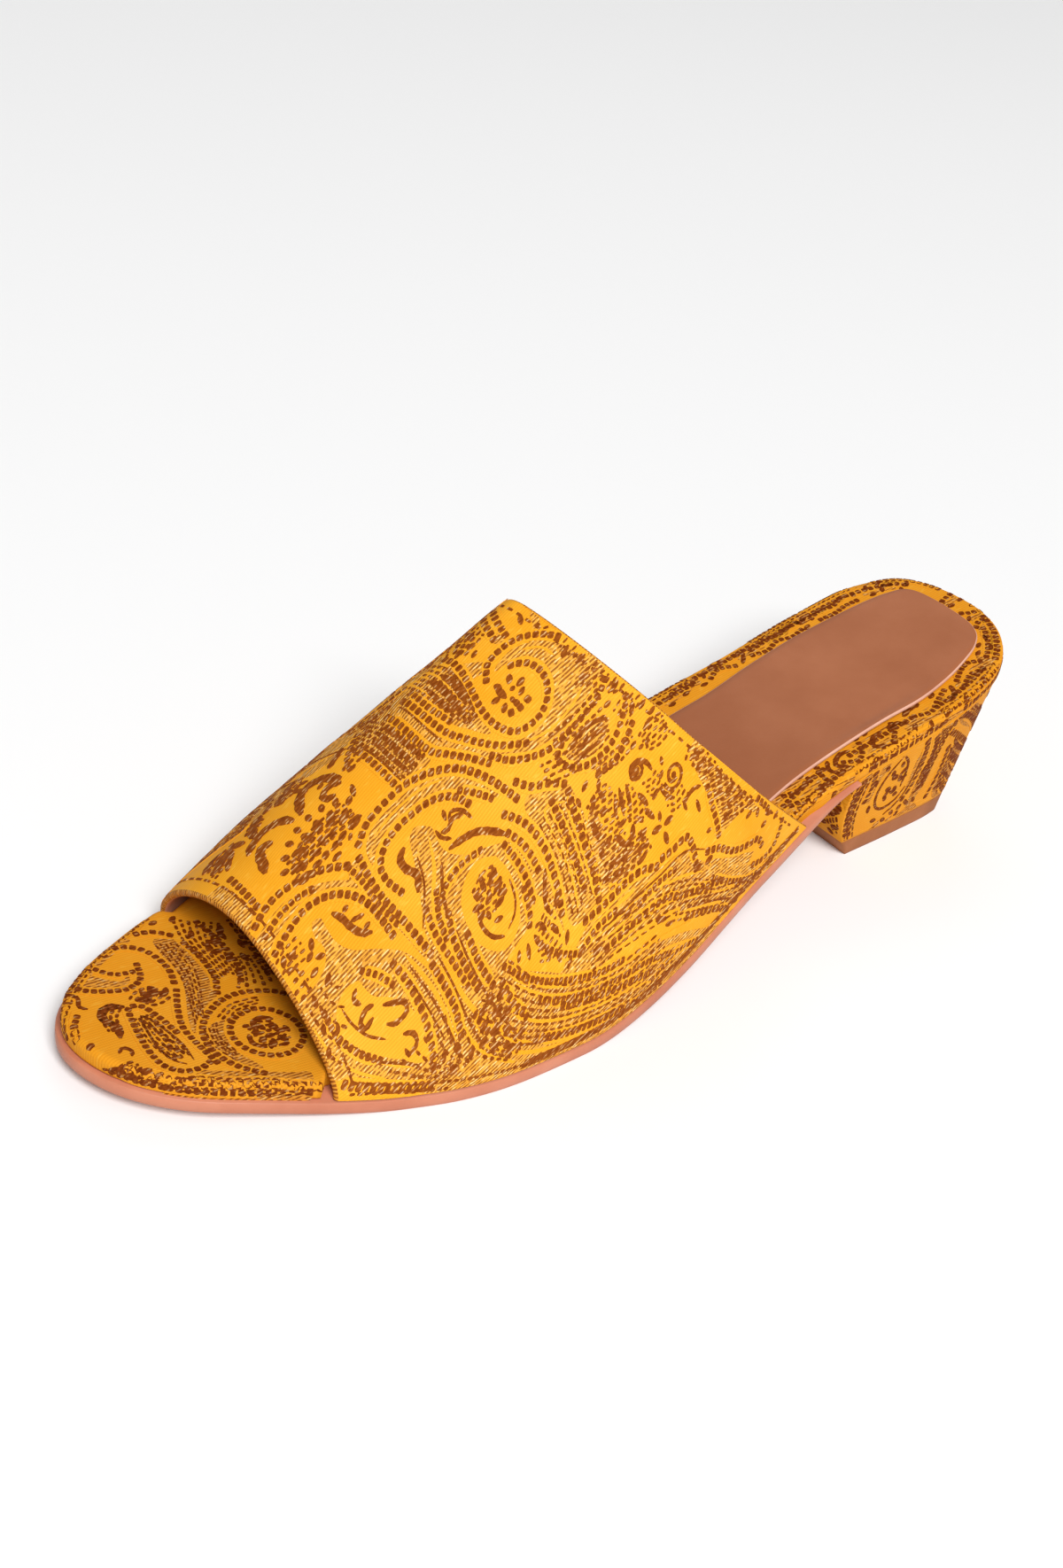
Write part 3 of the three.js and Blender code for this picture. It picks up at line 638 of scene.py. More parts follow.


# The brocade, charted in millimetres on the cloth.
# On the band x runs from the heel's back to the toe and y from the ridge to the outer side.
# On the footbed x runs the same way and y from the axis to the outer side.
# On the heel x runs round from the outer breast corner and y down from the seat.
# dots: (pitch, line); strokes: (width, line); petals: (x, y, length, width, degrees);
# spirals: (x, y, radius); hatches: (first line, last line, rows, pitch, width);
# fans of petals: (x, y, radius, length, width, first degrees, last degrees, count);
# fields: an outline of mixed weave; islands: an outline of plain ground on a field;
# veins: (width, line) of plain ground through a field.

BAND_CLOTH = dict(
    dots=[
        # paisley over the instep, outer and inner chains
        (1.75, [(160.6, 30), (162.5, 24.5), (164.5, 20), (167, 16), (170, 13), (173, 10.8), (176.5, 9.1),
                (181, 8.8), (185, 9.1), (188.4, 10.8)]),
        (1.65, [(168.6, 23), (169.6, 20.6), (171, 18.5), (173.5, 16.5), (176.5, 15.3), (180, 14.7),
                (183.5, 14.9), (186, 16), (187.8, 18), (188, 21), (187, 24.5)]),
        (1.75, [(189.8, 13), (190.4, 18), (190.3, 23), (189.4, 28), (188.6, 33), (187.8, 37.5)]),
        # paisley at the front edge
        (1.8, [(192.3, 12), (195.9, 8.6), (200.4, 6.1), (205.1, 4.7), (209, 5.1), (213, 6.6)]),
        (1.7, [(192.2, 29), (192.5, 25), (193, 21), (194.6, 17), (197.5, 13.6), (201.4, 11.6), (205, 11.5),
               (209, 12.4), (213, 13.6)]),
        (1.8, [(212.6, 40.6), (209.6, 44), (206, 47.6), (202.6, 51), (199.4, 54.2), (196, 57)]),
        (1.7, [(208, -7), (208.5, -2), (208.8, 3)]),
        # columns by the ridge
        (1.6, [(154.4, -4), (154.7, 1), (156, 6.6), (157, 11.5), (156.7, 16), (154.6, 20), (150.5, 21.4),
               (147, 20.2), (145, 17.4), (144.6, 14), (145.8, 10.8), (148, 9)]),
        (1.5, [(163.1, -4), (163.5, 2), (162.6, 8)]),
        (1.6, [(165, -4), (165.1, 3), (164.4, 9), (162.6, 13), (160.6, 16.5), (158, 20), (154, 23.5)]),
        (1.6, [(168.7, -5), (169, 3), (168.6, 9), (166.4, 13), (164.2, 16.4), (161.6, 20.6)]),
        (1.6, [(176.5, -6), (176.8, 1), (176.8, 7.2)]),
        (1.5, [(173.4, -9.5), (176, -8), (179, -5.4), (180, -3)]),
        # paisley under the collar
        (1.6, [(136.2, 19), (137.2, 14), (139, 10.6), (141, 8), (144, 5.6), (147.5, 4.7), (150.8, 5.1),
               (153, 7.6)]),
        (1.6, [(133.4, 23), (136.5, 25.8), (140, 27.2), (146, 28), (151, 27.8), (155, 26), (158.4, 23.2),
               (160.4, 20)]),
        (1.6, [(139, -9), (141.5, -5.2), (143.8, -1.2), (144.9, 3)]),
        (1.6, [(142.6, -7), (145.4, -2.6), (146.8, 1.8)]),
        (1.7, [(137.6, 1), (137.1, 7), (135.9, 13)]),
        (1.7, [(149.4, 17), (151.3, 17.2), (153.2, 16.6)]),
        # small pointed paisley
        (1.6, [(132.6, 29.6), (135, 32.8), (138.4, 35.4), (142, 36.3), (146, 35.7), (149.2, 33.4),
               (150.4, 30.4), (148.6, 28.9)]),
        (1.6, [(134.6, 36), (137.6, 38), (141, 39.2), (144.6, 38.8)]),
        # long paisley towards the side
        (1.7, [(151.4, 35.2), (154, 32.8), (157.2, 30.6), (159.2, 27.6)]),
        (1.7, [(164, 30.4), (162, 33.6), (160.7, 37), (160.1, 41), (160.1, 45), (160.6, 50), (161.4, 54)]),
        (1.6, [(165, 33.6), (163.6, 37), (162.9, 40.6), (162.8, 43.6)]),
        (1.75, [(151.3, 37), (152, 42), (152.3, 48), (152.5, 54), (153, 58.4)]),
        (1.7, [(155, 36), (155, 42), (155.1, 48), (155.3, 54)]),
        (1.75, [(138.4, 63.2), (142.4, 61), (147, 60.3), (152, 60.2), (157, 59.4)]),
        (1.8, [(128, 70.6), (128.4, 66.6), (129.8, 63.6), (133, 63.4), (136.6, 62.8)]),
        (1.75, [(133, 74), (136, 71.6), (140, 70.1), (144.5, 69.2), (149, 68.6), (153.5, 68)]),
        (1.75, [(119.6, 79.8), (124, 78), (128, 76.5), (131.2, 74.8)]),
        (1.8, [(105.4, 79.6), (107, 77.3), (110, 76.7), (113.4, 76), (117, 74.5), (120.6, 71.8),
               (124.2, 70.4)]),
        (1.7, [(98, 76), (98.6, 79.5), (100.4, 82.6), (104, 83.8), (108, 83)]),
        (1.75, [(116, 89), (121, 85.6), (126, 82.6), (131, 80.2)]),
        (1.75, [(142, 83.4), (148, 80), (154, 77), (160, 73.4), (166, 69)]),
        (1.7, [(144, 87.6), (150, 84.6), (156, 81.4), (162, 77.8), (168, 73.4), (173, 69)]),
        (1.4, [(150, 73.6), (156, 71), (162, 67), (168, 62), (173, 56.4), (176, 51.4)]),
        (1.4, [(136, 84.4), (143, 80), (150, 77), (158, 73), (165, 68.4), (171, 63.2)]),
        (1.4, [(160, 63.6), (164, 60), (167.4, 55.4)]),
        (1.4, [(127, 89), (134, 86), (141, 86)]),
        (1.5, [(166.8, 44), (167.4, 48), (168.4, 50)]),
        (1.5, [(110, 85.4), (117, 81.6), (123, 77)]),
        (1.5, [(100, 86.6), (107, 86), (114, 84.4)]),
        (1.5, [(134, 67.4), (139, 66.4), (144, 66.6)]),
        (1.5, [(150, 63.2), (155, 62.6), (159, 63.4)]),
        (1.5, [(199.6, 9.6), (203, 8.3), (207, 8.2), (211, 9)]),
        (1.5, [(209.6, 29), (209.4, 34), (207.2, 39.4), (204, 44)]),
        (1.5, [(184.6, 53.4), (183.2, 58)]),
        # along the collar
        (1.7, [(121, 49.8), (118, 54.2), (114.5, 58.8), (111, 63.2), (107.5, 67.7), (104, 71.8)]),
        (1.7, [(132, 26), (130, 31.2)]),
        (1.6, [(121.9, 58), (121.5, 62), (120.8, 66), (120.5, 69)]),
        # stripes down from the instep paisley
        (1.7, [(180.1, 41), (180.3, 47), (179.4, 52)]),
        (1.7, [(188.4, 39.4), (188, 44), (187.8, 49), (188.4, 54)]),
        (1.7, [(194.6, 33), (193.8, 38), (193.6, 44), (194.2, 50), (195, 54)]),
        (1.5, [(184.8, 31), (185.4, 36), (184.8, 42), (184, 48)]),
        (1.5, [(166.6, 34.6), (165.8, 39), (165.6, 43.6), (166, 47)]),
        (1.6, [(174.6, 63), (176.6, 58), (177.4, 53.4)]),
        (1.5, [(171, 31.4), (175, 30.2), (179, 30.4), (182, 32)]),
        (1.6, [(181.6, 35), (182.8, 39), (183, 44), (182.4, 50)]),
        (1.4, [(200, 29), (198, 32), (196.4, 35.6)]),
        (1.4, [(192.2, 12.6), (191.7, 17), (191.6, 22), (190.6, 28)]),
        (1.5, [(181.6, 30), (183.4, 34), (184, 38)]),
        (1.5, [(164.6, 26), (166.6, 22.6), (168.6, 19.8)]),
    ],
    strokes=[
        # sprig of the instep paisley and its curled tip
        (1.3, [(165.4, 33.4), (167.5, 30.6), (170, 28.2), (173, 26.8), (175.8, 26)]),
        (1.0, [(170.4, 23.6), (172.4, 22.4), (174, 23.2), (175.4, 22.4)]),
        (0.9, [(173, 19.6), (173.5, 21.6)]),
        (0.7, [(169.4, 25.6), (170.2, 22.8), (172, 21.2), (173.2, 22.4)]),
        (0.7, [(174.4, 25), (175.8, 23.2), (176, 21.2)]),
        (0.7, [(178, 26.6), (180.6, 31), (182, 36)]),
        (1.5, [(182.2, 18.6), (184, 19.6), (184.1, 22), (183, 24.6), (184.5, 27.2)]),
        (0.45, [(181.2, 22), (182.6, 26.6), (185, 30.4), (187, 33)]),
        # sprig of the front paisley
        (1.3, [(199.2, 16.2), (198.2, 18.6), (197.8, 21), (196.8, 23.6), (195, 25.4)]),
        (0.9, [(194.6, 21.6), (197.2, 20.4)]),
        (1.2, [(209.4, 21.2), (211.6, 21.2), (213.4, 22.4)]),
        (1.0, [(202.4, 30.4), (203.8, 31.6), (203, 33.4)]),
        (1.1, [(201, 35.4), (202.6, 34.8), (204.6, 35.8), (204.2, 37.3), (202, 37)]),
        (0.5, [(206.4, 31), (206, 34.5), (204.4, 38.5), (201.6, 42)]),
        (1.0, [(199.6, 36.8), (197, 38.8), (195.8, 40), (196.2, 41.6), (198.8, 41.4), (200.4, 40)]),
        (0.9, [(198.4, 44), (196.6, 45.6), (196.6, 47.6), (198.6, 48), (199, 46.4)]),
        (0.45, [(207.4, 38), (205, 43), (201, 47.4), (197.6, 51)]),
        # leaves over the palmette
        (2.1, [(182.3, -3), (183.8, -7), (186, -9.2), (188.6, -8.7), (190.4, -6.5), (191.6, -4.4)]),
        (1.5, [(182.9, -2.2), (184.6, -4), (186.6, -3.6), (186.8, -2), (185.2, -1.1)]),
        (2, [(193.2, -4.8), (194.4, -8), (197.2, -9.9), (200.4, -9.6), (202.6, -8.2)]),
        (2.1, [(198.4, -5.2), (200, -6.5), (201.4, -5.6), (202.6, -3), (203.6, -1)]),
        (1.0, [(185, -10.8), (186.2, -12.4), (187.8, -11.6), (187, -10)]),
        (2, [(194.2, -15.6), (196.2, -14.9), (198, -13), (198.8, -11)]),
        (2.1, [(201.8, -15.3), (204, -14.6), (206, -13.6), (208.6, -13)]),
        (1.3, [(203, -17), (205.5, -17.6), (208, -17)]),
        (1.2, [(203.6, -12.8), (205.4, -11.2), (206.8, -9.8)]),
        (1.4, [(176.5, -10), (179, -9.2), (181.6, -8.2)]),
        (0.4, [(209.9, -6), (210.1, 0), (210.2, 4)]),
        # the comma by the ridge, with lines beside it
        (1.5, [(157.6, -1), (157.3, 3), (158.2, 7.4)]),
        (1.5, [(159.4, -2.4), (159.5, 3), (160, 8.6)]),
        (1.1, [(161.2, -1), (161.4, 3.4), (161.2, 7)]),
        (0.4, [(155.9, -3), (156.2, 2.4), (157.4, 8), (158.4, 11)]),
        (0.5, [(175.6, -7), (175.6, 0), (175.5, 8.4)]),
        (0.9, [(170.7, -4), (170.6, 3), (170.2, 9)]),
        (1.0, [(172, -5), (172.2, 2), (172, 9)]),
        (0.9, [(173.6, -4), (174, 2), (173.6, 8.6)]),
        (0.4, [(166.2, -4), (166.4, 4), (166, 10)]),
        # inside the small pointed paisley
        (0.9, [(138.6, 31.6), (141, 30.2), (145, 30), (147.6, 31)]),
        (0.9, [(139.6, 33), (142.6, 32), (146.6, 32.2)]),
        (0.8, [(141.6, 34), (144.6, 33.6), (146.8, 33.6)]),
        # curls on the open ground
        (0.9, [(134, 46.4), (134.6, 44.4), (136, 42.8), (138, 42.6), (138.6, 44.4), (137.2, 45.4)]),
        (0.9, [(123.6, 56.6), (126, 56.2), (128.6, 57.2), (128.4, 58.8)]),
        (0.8, [(131, 54.6), (132.6, 52.6), (133.4, 50.4)]),
        # flower of the instep paisley
        (0.5, [(168.6, 40), (169, 43.5), (170.4, 45.8), (172.6, 46.8)]),
        (0.8, [(176.4, 39), (177, 42), (176, 45.2), (173.8, 47.2)]),
        (0.9, [(161.4, 44.6), (162.8, 47), (163.9, 49.6), (163.6, 52.4)]),
        (0.5, [(181.6, 38), (181.9, 45), (181.2, 52), (179, 60), (176.5, 66)]),
        (0.5, [(192.2, 36), (191, 44), (190.2, 52), (189.8, 58)]),
        (0.4, [(193.4, 37), (192.4, 45), (191.6, 52)]),
        (0.45, [(186.8, 39), (186.4, 46), (186.2, 53), (184.6, 60)]),
        # sweeping double lines at the side
        (0.4, [(112, 89), (120, 84), (127, 80.4), (131, 78.2)]),
        (0.55, [(118, 91), (126, 85.4), (133, 81), (138, 77.4)]),
        (0.45, [(150, 84), (158, 79.6), (166, 75), (173, 70), (179, 64.6), (184, 59)]),
        (0.45, [(125, 69.4), (131, 66), (138, 65.4), (146, 64.6), (154, 64.2)]),
    ],
    petals=[
        # palmette
        (191.4, 7, 1.8, 1.4, 0), (193.9, 6.8, 1.8, 1.4, 0), (192.6, 9, 2.4, 1.3, 0),
        (182.7, 1.4, 3, 1.2, 65), (187.4, -15, 3.2, 1.8, 30), (190.2, -13.2, 2.8, 1.7, 60),
        (191.6, -16, 2.6, 1.4, 40), (185.4, -6, 1.6, 1, 0),
        # inside the collar paisley
        (152.5, 12, 3.4, 1.5, 95), (149.8, 11.2, 1.8, 1.1, 30), (148.4, 13, 1.8, 1.1, 0),
        (149.4, 14.8, 1.9, 1.1, 20), (151.6, 14.8, 1.5, 1, 90), (150.4, 13, 1.2, 1, 0),
        (139.3, 1.4, 2.6, 1.2, 110), (141.1, 2.9, 2.4, 1.1, 60), (138.6, 6.2, 2, 1.3, 10),
        (139.4, 15.2, 1.8, 1.3, 20), (137.6, 18.4, 2, 1.2, 30), (138.8, 21.8, 2, 1.2, 0),
        (148.4, -3.4, 3, 1.5, 60), (150.2, -1, 2, 1.3, 0), (152.6, -2, 2.4, 1.1, 10), (151, 1, 1.8, 1, 20),
        (134.6, 27.6, 2.6, 1.2, 20), (137.4, 29.4, 1.8, 1.1, 0), (133.4, 33.6, 2, 1.1, 30),
        (136, 39.6, 1.8, 1.1, 20), (131.2, 34.4, 2.2, 1.1, 20), (129.8, 36.8, 2, 1, 20),
        # marks at the front edge
        (205.2, 17.4, 2.4, 1.3, 60), (206.6, 18.9, 2, 1.2, 20), (205, 20.4, 2.2, 1.2, 150),
        (209, 16, 2, 1.2, 20), (211, 15.6, 2.4, 1.3, 60), (210.8, 17.8, 2, 1.1, -30),
        (207.4, 21.8, 2.2, 1.3, 10), (206, 24.8, 2.6, 1.3, 40), (210, 26, 2.4, 1.3, 80),
        (212.4, 25, 2, 1.1, 60), (211, 31, 2.2, 1.2, 70), (212, 35, 2.2, 1.2, 70), (208.6, 33, 2, 1, 70),
        (195.2, 23.6, 1.6, 1, 0), (196.8, 17.8, 1.5, 1.1, 0), (191.4, 15.4, 1.4, 1.1, 0),
        # leaf cluster, flower and palmette on the open ground
        (127.6, 39.4, 4.2, 1, 5), (127.6, 41.9, 4.4, 1, -5), (131.8, 38.3, 2.8, 1.1, 30),
        (133, 41, 2, 1, 60), (125.4, 40.6, 2, 1, 90), (131.4, 46.4, 1.8, .9, 80), (132.4, 48.6, 1.8, 1, 40),
        (134.6, 41, 1.4, .9, 0), (140.6, 47, 5.4, .9, 82), (142.3, 46.6, 5.6, 1, 80),
        (143.9, 46.6, 4, .9, 72), (145.6, 42.6, 3, 1.1, 100), (147.7, 42.4, 3, 1.1, 60),
        (146.4, 45.2, 2.4, 1.1, 150), (137.8, 49.6, 4, 1.2, 110), (137.3, 53, 3.8, 1.2, 115),
        (134.9, 50.8, 2.2, 1.1, 30), (143.6, 50, 2.4, 1.1, 0), (145.2, 52, 3, 1.2, 120),
        (143.2, 54, 2.6, 1.2, 20), (149.3, 46.8, 4.4, 1.4, 90), (147.4, 50.6, 2.2, 1.2, 20),
        (149.6, 51.6, 2.6, 1.3, 90), (139.6, 52.4, 2, 1, 120), (133.4, 57.4, 2.6, 1.4, 0),
        (136.6, 56.9, 2.8, 1.4, -10), (134.8, 60, 2.8, 1.3, 95), (135.2, 55.2, 2, 1, 80),
        (141, 57.2, 3, 1.3, -10), (141.4, 59.2, 2.8, 1.1, 10), (145, 56, 2.2, 1.3, 50),
        (147, 57.6, 2.6, 1.4, 0), (148.4, 55.2, 2, 1.2, 40), (150.3, 56.4, 1.8, 1.3, 0),
        (125.2, 60, 3, 1, 95), (147.2, 66, 2.2, 1.6, 10), (155.9, 66.4, 2.4, 1.7, 0),
        (148, 38.6, 2.2, 1.1, 30), (145.4, 40.4, 2.2, 1, 60), (150.4, 40.2, 2, 1.1, 90),
        # by the collar's end
        (122, 48.4, 2.2, 1.1, 0), (123.2, 50.4, 2.8, 1.2, 0), (122.8, 52.8, 2.8, 1.2, 20),
        (120.6, 54.6, 2.2, 1, 60), (118.2, 57.2, 2.6, 1, 100), (119.4, 60.6, 3, 1, 20),
        (116, 61.4, 3, 1, 10), (113.6, 64, 3.4, 1, -10), (118.2, 66.6, 3.2, 1.3, 15),
        (116.6, 64, 2.4, .9, 20), (110, 67.4, 2.6, 1, 0), (103.6, 73, 2.6, 1.3, -20),
        (105.2, 74.8, 2, 1.2, 20), (107.6, 70.8, 2.2, 1.1, 80), (110.6, 69.8, 2.2, 1, 20),
        (100.8, 75, 2, 1, 40), (123.2, 66.4, 1.6, 1, 0), (124, 72.4, 2.6, 1.4, 10),
        (127.6, 71.8, 2.6, 1.4, 0), (138.8, 74.2, 4, 1.3, -35), (136.6, 77, 2.6, 1, -30),
        # flower of the instep paisley
        (170.6, 36.6, 2.2, 1.2, 90), (173.4, 35.6, 2.4, 1.1, 80), (175.4, 37, 2, 1.1, 60),
        (171.2, 39.3, 2.4, 1.3, 0), (173.7, 39.4, 2.2, 1.3, 20), (172.1, 41.6, 2.6, 1.3, 0),
        (173.6, 43.8, 2.2, 1.1, -20), (175, 41.6, 1.8, 1.1, 90), (161.5, 51, 3, 1.3, 60),
        (163.8, 55, 3.2, 1.2, 110), (166, 52.6, 3, 1.1, 105), (168, 53.6, 3, 1.1, 100),
        (170.4, 53.6, 3, 1.1, 75), (161.8, 58.6, 2.6, 1.1, 60), (164.6, 60.2, 2.4, 1.1, 100),
        (166.6, 57.6, 2.4, 1, 100), (172.6, 52.6, 2.2, 1, 60), (162.6, 63, 2.2, 1, 40),
        # cluster of ovals low at the side
        (178.6, 54.8, 2.3, 1.7, 30), (180.9, 53.6, 2, 1.6, 20), (183, 54.2, 2, 1.5, 0),
        (180.3, 56.6, 2.6, 2, 0), (183.6, 56.6, 2.4, 1.7, 20), (178.2, 58.4, 2.4, 1.7, -20),
        (181.5, 59.2, 2.6, 1.9, 0), (184.6, 59, 2.2, 1.6, 10), (179.2, 61.6, 2.2, 1.6, 0),
        (182.5, 61.9, 2.4, 1.7, 0), (189.6, 55.4, 2.6, 1.3, 95), (191.4, 58, 3, 1.2, 110),
        (187.4, 58.6, 2.4, 1.3, 80), (192.6, 54.2, 2.4, 1.1, 70), (176.4, 64.4, 2.2, 1.5, 0),
        (179.4, 65, 2, 1.4, 0),
    ],
    spirals=[(129.6, 50.6, 2.7), (137.1, 44, 1.7)],
    hatches=[
        # brown blocks by the ridge
        ([(156.2, -6), (156.4, 1), (157.6, 8), (158.6, 12)],
         [(162, -6), (162.2, 1), (161.4, 8), (160.2, 12)], 6, 1.7, .75),
        ([(170.2, -9), (170, 0), (169.8, 9)], [(175, -9), (175, 0), (174.8, 8.6)], 6, 1.7, .7),
        ([(146, -8), (149, -4), (152, -2)], [(149, -8), (152, -6), (154, -4)], 3, 1.6, .7),
        ([(145.6, -5), (149, -5), (153, -3)], [(147, -1), (150, -.6), (153, -.6)], 4, 1.6, .7),
        ([(174.4, -8), (178, -6), (181, -4)], [(177, -3), (179, -3), (180.4, -2)], 3, 1.6, .8),
        # leaves under the collar
        ([(136.4, 8), (138, 7.4), (140, 6.4)], [(136, 10.6), (137.6, 10.4), (139, 9.6)], 3, 1.5, .7),
        ([(136.4, 12), (138, 12), (139.6, 12.4)], [(135, 19.6), (136.6, 19.8), (138.6, 19.6)], 7, 1.7, .66),
        ([(132.8, 25.4), (135, 25.6), (137, 26.4)], [(131.6, 28.6), (134, 28.8), (136, 28.4)], 4, 1.7, .6),
        ([(131, 30), (134, 30.4), (137, 31.4)], [(130.4, 34), (133, 34), (136, 35.4)], 4, 1.8, .6),
        ([(135.4, 36.8), (140, 37.6), (145.6, 36.8)],
         [(135.4, 39.4), (140, 40), (145.6, 38.6)], 3, 1.5, .8),
        ([(137.4, 25.6), (143, 26.2), (150, 25.8)], [(138.4, 29.2), (144, 29.2), (150, 28.4)], 3, 1.6, .8),
        ([(146, 31), (150, 30.4), (154, 29)], [(147, 35.6), (151, 34), (155, 32.6)], 4, 1.8, .7),
        ([(128.6, 52.6), (131, 53.4), (133, 52)], [(127, 56), (130, 57), (133, 56)], 4, 1.7, .6),
        ([(133, 47), (135, 47.6), (137, 47)], [(132.6, 50.4), (134.6, 50.8), (136.4, 50)], 4, 1.6, .6),
        # marks at the front edge
        ([(206.4, 14), (210, 14), (213, 15)], [(206.4, 18.6), (210, 18), (213, 18.6)], 4, 1.6, .6),
        ([(208.6, 20), (211, 20), (213.2, 20.6)], [(209, 23.4), (211, 23.6), (213.2, 23.6)], 3, 1.6, .8),
        ([(135, 21.6), (138, 21), (141, 21.8)], [(134.4, 25), (137, 24.6), (139, 24.8)], 4, 1.7, .65),
        ([(138.4, 31), (142, 30), (147.4, 31)], [(139.4, 34.4), (143, 35), (147.4, 33.6)], 5, 1.8, .6),
        ([(128, 38.4), (131, 38), (134.4, 39)], [(127.4, 42.6), (130.6, 43.4), (133.6, 42.6)], 6, 1.8, .66),
        ([(122, 48), (124.4, 48.4), (126, 50)], [(117.4, 56.4), (119.4, 57.4), (121.6, 57)], 8, 1.7, .8),
        ([(116, 58.4), (119, 58.6), (122, 58)], [(109.4, 67), (113, 67.8), (118, 67)], 8, 1.8, .8),
        # flower on the open ground
        ([(143.6, 41.6), (146.4, 41.2), (149.4, 42.4)],
         [(142.6, 45.6), (145.4, 46), (149, 45)], 5, 1.7, .7),
        ([(139.4, 45), (141.4, 45.4), (143.4, 47)], [(137, 52), (139.4, 52.6), (142, 51.4)], 7, 1.6, .7),
        ([(144, 47.6), (147, 47), (150.2, 47.4)], [(143.4, 52), (147, 52.6), (150.2, 52)], 6, 1.7, .7),
        ([(139.6, 54.6), (145, 53.8), (150.2, 54)], [(138.6, 58.6), (144, 59), (150, 58.8)], 6, 1.8, .75),
        # flower of the instep paisley
        ([(170, 35.6), (173, 34.8), (176, 36)], [(169.6, 41), (173, 42), (176, 41)], 7, 1.7, .66),
        ([(162.6, 48), (165, 51), (168, 51.4)], [(163, 58.6), (166, 59), (169, 57)], 7, 1.7, .7),
        # palmette
        ([(185.6, 1.4), (192.6, .4), (200, 1.6)], [(185, 6.4), (192.6, 5), (201, 5.4)], 6, 1.9, .8),
        ([(184.4, 6.8), (187, 7), (189.4, 9)], [(196.4, 9), (198, 7), (200.6, 6)], 3, 1.9, .8),
        # long paisley and the sweep along the side
        ([(151.4, 37), (151.2, 46), (151.6, 56)], [(159, 37), (158.4, 46), (159.4, 57)], 7, 2.2, .5),
        ([(122, 78.4), (131, 72), (142, 66.4), (158, 63)],
         [(124, 81.4), (134, 76.4), (145, 72.6), (158, 69)], 6, 2.4, .5),
        ([(98, 88), (110, 85), (121, 80.6), (131, 75.6)],
         [(96, 90.6), (112, 89.4), (126, 83.6), (136, 77)], 5, 2.3, .5),
        ([(140, 76.6), (152, 73.4), (162, 68), (170, 60), (175, 51)],
         [(134, 89), (150, 83.6), (164, 76), (176, 66), (187, 53)], 9, 2.4, .5),
        ([(178, 54), (180, 60), (176, 68)], [(188, 52), (186, 60), (180, 67)], 6, 2.1, .6),
        ([(190, 48), (190.6, 54), (188, 60)], [(203, 47), (198, 53), (192, 59)], 6, 2.1, .6),
        ([(120, 96), (136, 91), (150, 86), (164, 79.6), (178, 70.6), (190, 61.6), (202, 50.6), (210, 43)],
         [(120, 97.6), (136, 92.6), (150, 87.6), (164, 81.2), (178, 72.2), (190, 63.2), (202, 52.2),
          (211.4, 44)], 2, 1.8, .6),
        ([(206, 24.6), (205.6, 27), (204.6, 28)], [(213.4, 25), (213, 33), (209.4, 41)], 5, 2.1, .6),
        # leaves over the palmette
        ([(184, -13.6), (187, -15.4), (190, -15)], [(187, -11.6), (189, -12), (192, -14)], 4, 1.6, .75),
        ([(200.4, -16), (204, -17), (209, -16)], [(203, -12.6), (206, -12), (209, -11)], 5, 1.7, .8),
        ([(193.6, -15.6), (196.6, -16), (199, -14)],
         [(194.6, -13.6), (197, -12.6), (199, -11)], 4, 1.6, .75),
    ],
    fans=[
        (192.8, 7.4, 3.3, 2.3, 1.4, -170, -10, 5), (192.8, 7.2, 6.4, 3.4, 2, -176, -4, 8),
        (192.8, 7.2, 9.6, 2.0, 1.4, -150, -30, 8), (143.4, 56.4, 3.6, 2.8, 1.3, -160, -20, 4),
        (202.6, -18.4, 4.6, 4, 1.9, 20, 110, 4), (189.4, -16.6, 3, 3, 1.8, 20, 160, 4),
        (173.6, 39.6, 2.9, 2.4, 1.3, -200, 20, 7), (151.4, 13.2, 2.8, 2, 1.3, -180, 90, 6),
    ],
    fields=[
        [(112, 100), (124, 96), (136, 92.6), (148, 88.4), (160, 83), (170, 77.6), (180, 70.6), (188, 65.4),
         (196, 58.6), (204, 50.6), (211, 44), (209, 41), (202, 48), (194, 55.6), (186, 62), (177, 68.4),
         (167, 74.6), (156, 79.6), (145, 83.6), (134, 87.6), (122, 91.4), (110, 95)],
        [(165, 20.2), (168, 15.8), (172, 12.6), (176, 10.8), (181, 10.3), (185.5, 10.9), (188, 13),
         (188.6, 16.2), (186.4, 14.4), (183, 13.3), (179, 13.4), (175, 14.4), (171.5, 16.6), (168.5, 19.5),
         (166, 23), (163.4, 27), (162.8, 24.4)],
        [(176.2, 20), (178.4, 17.4), (180.6, 18.2), (182.2, 22.4), (184.2, 27.4), (186.4, 32.4), (188, 38),
         (188.6, 46), (188.6, 54), (186, 60), (178, 66), (170, 72), (160, 77), (150, 80), (156, 72),
         (162.4, 64.4), (162, 57), (161.2, 51), (161.6, 44), (163, 38.4), (166, 34.6), (170, 31.8),
         (174.4, 28.8), (176.6, 25)],
        [(196.2, 11.4), (200, 8.4), (205, 6.8), (210, 7.4), (213.4, 8.6), (213.4, 12), (209, 10.6),
         (205, 9.9), (201, 10), (197.4, 12), (194.6, 15), (193.4, 17.6), (193, 15)],
        [(201.2, 15.2), (202.8, 14.3), (204, 16.8), (203.6, 20), (205.4, 22.6), (209, 23.8), (213.4, 24.4),
         (214.2, 34), (213, 39.4), (209, 44.4), (203, 50.6), (198, 55), (192, 60), (188, 62), (188.6, 52),
         (189, 42), (191.4, 34), (195.4, 28.8), (199.6, 24.6), (201.4, 20.4)],
        [(165.9, -6), (167.8, -6), (168, 4), (167.4, 9.6), (164.6, 14.6), (161.2, 19.4), (157.6, 23),
         (159.4, 19), (162.4, 15), (165.3, 10), (166, 4)],
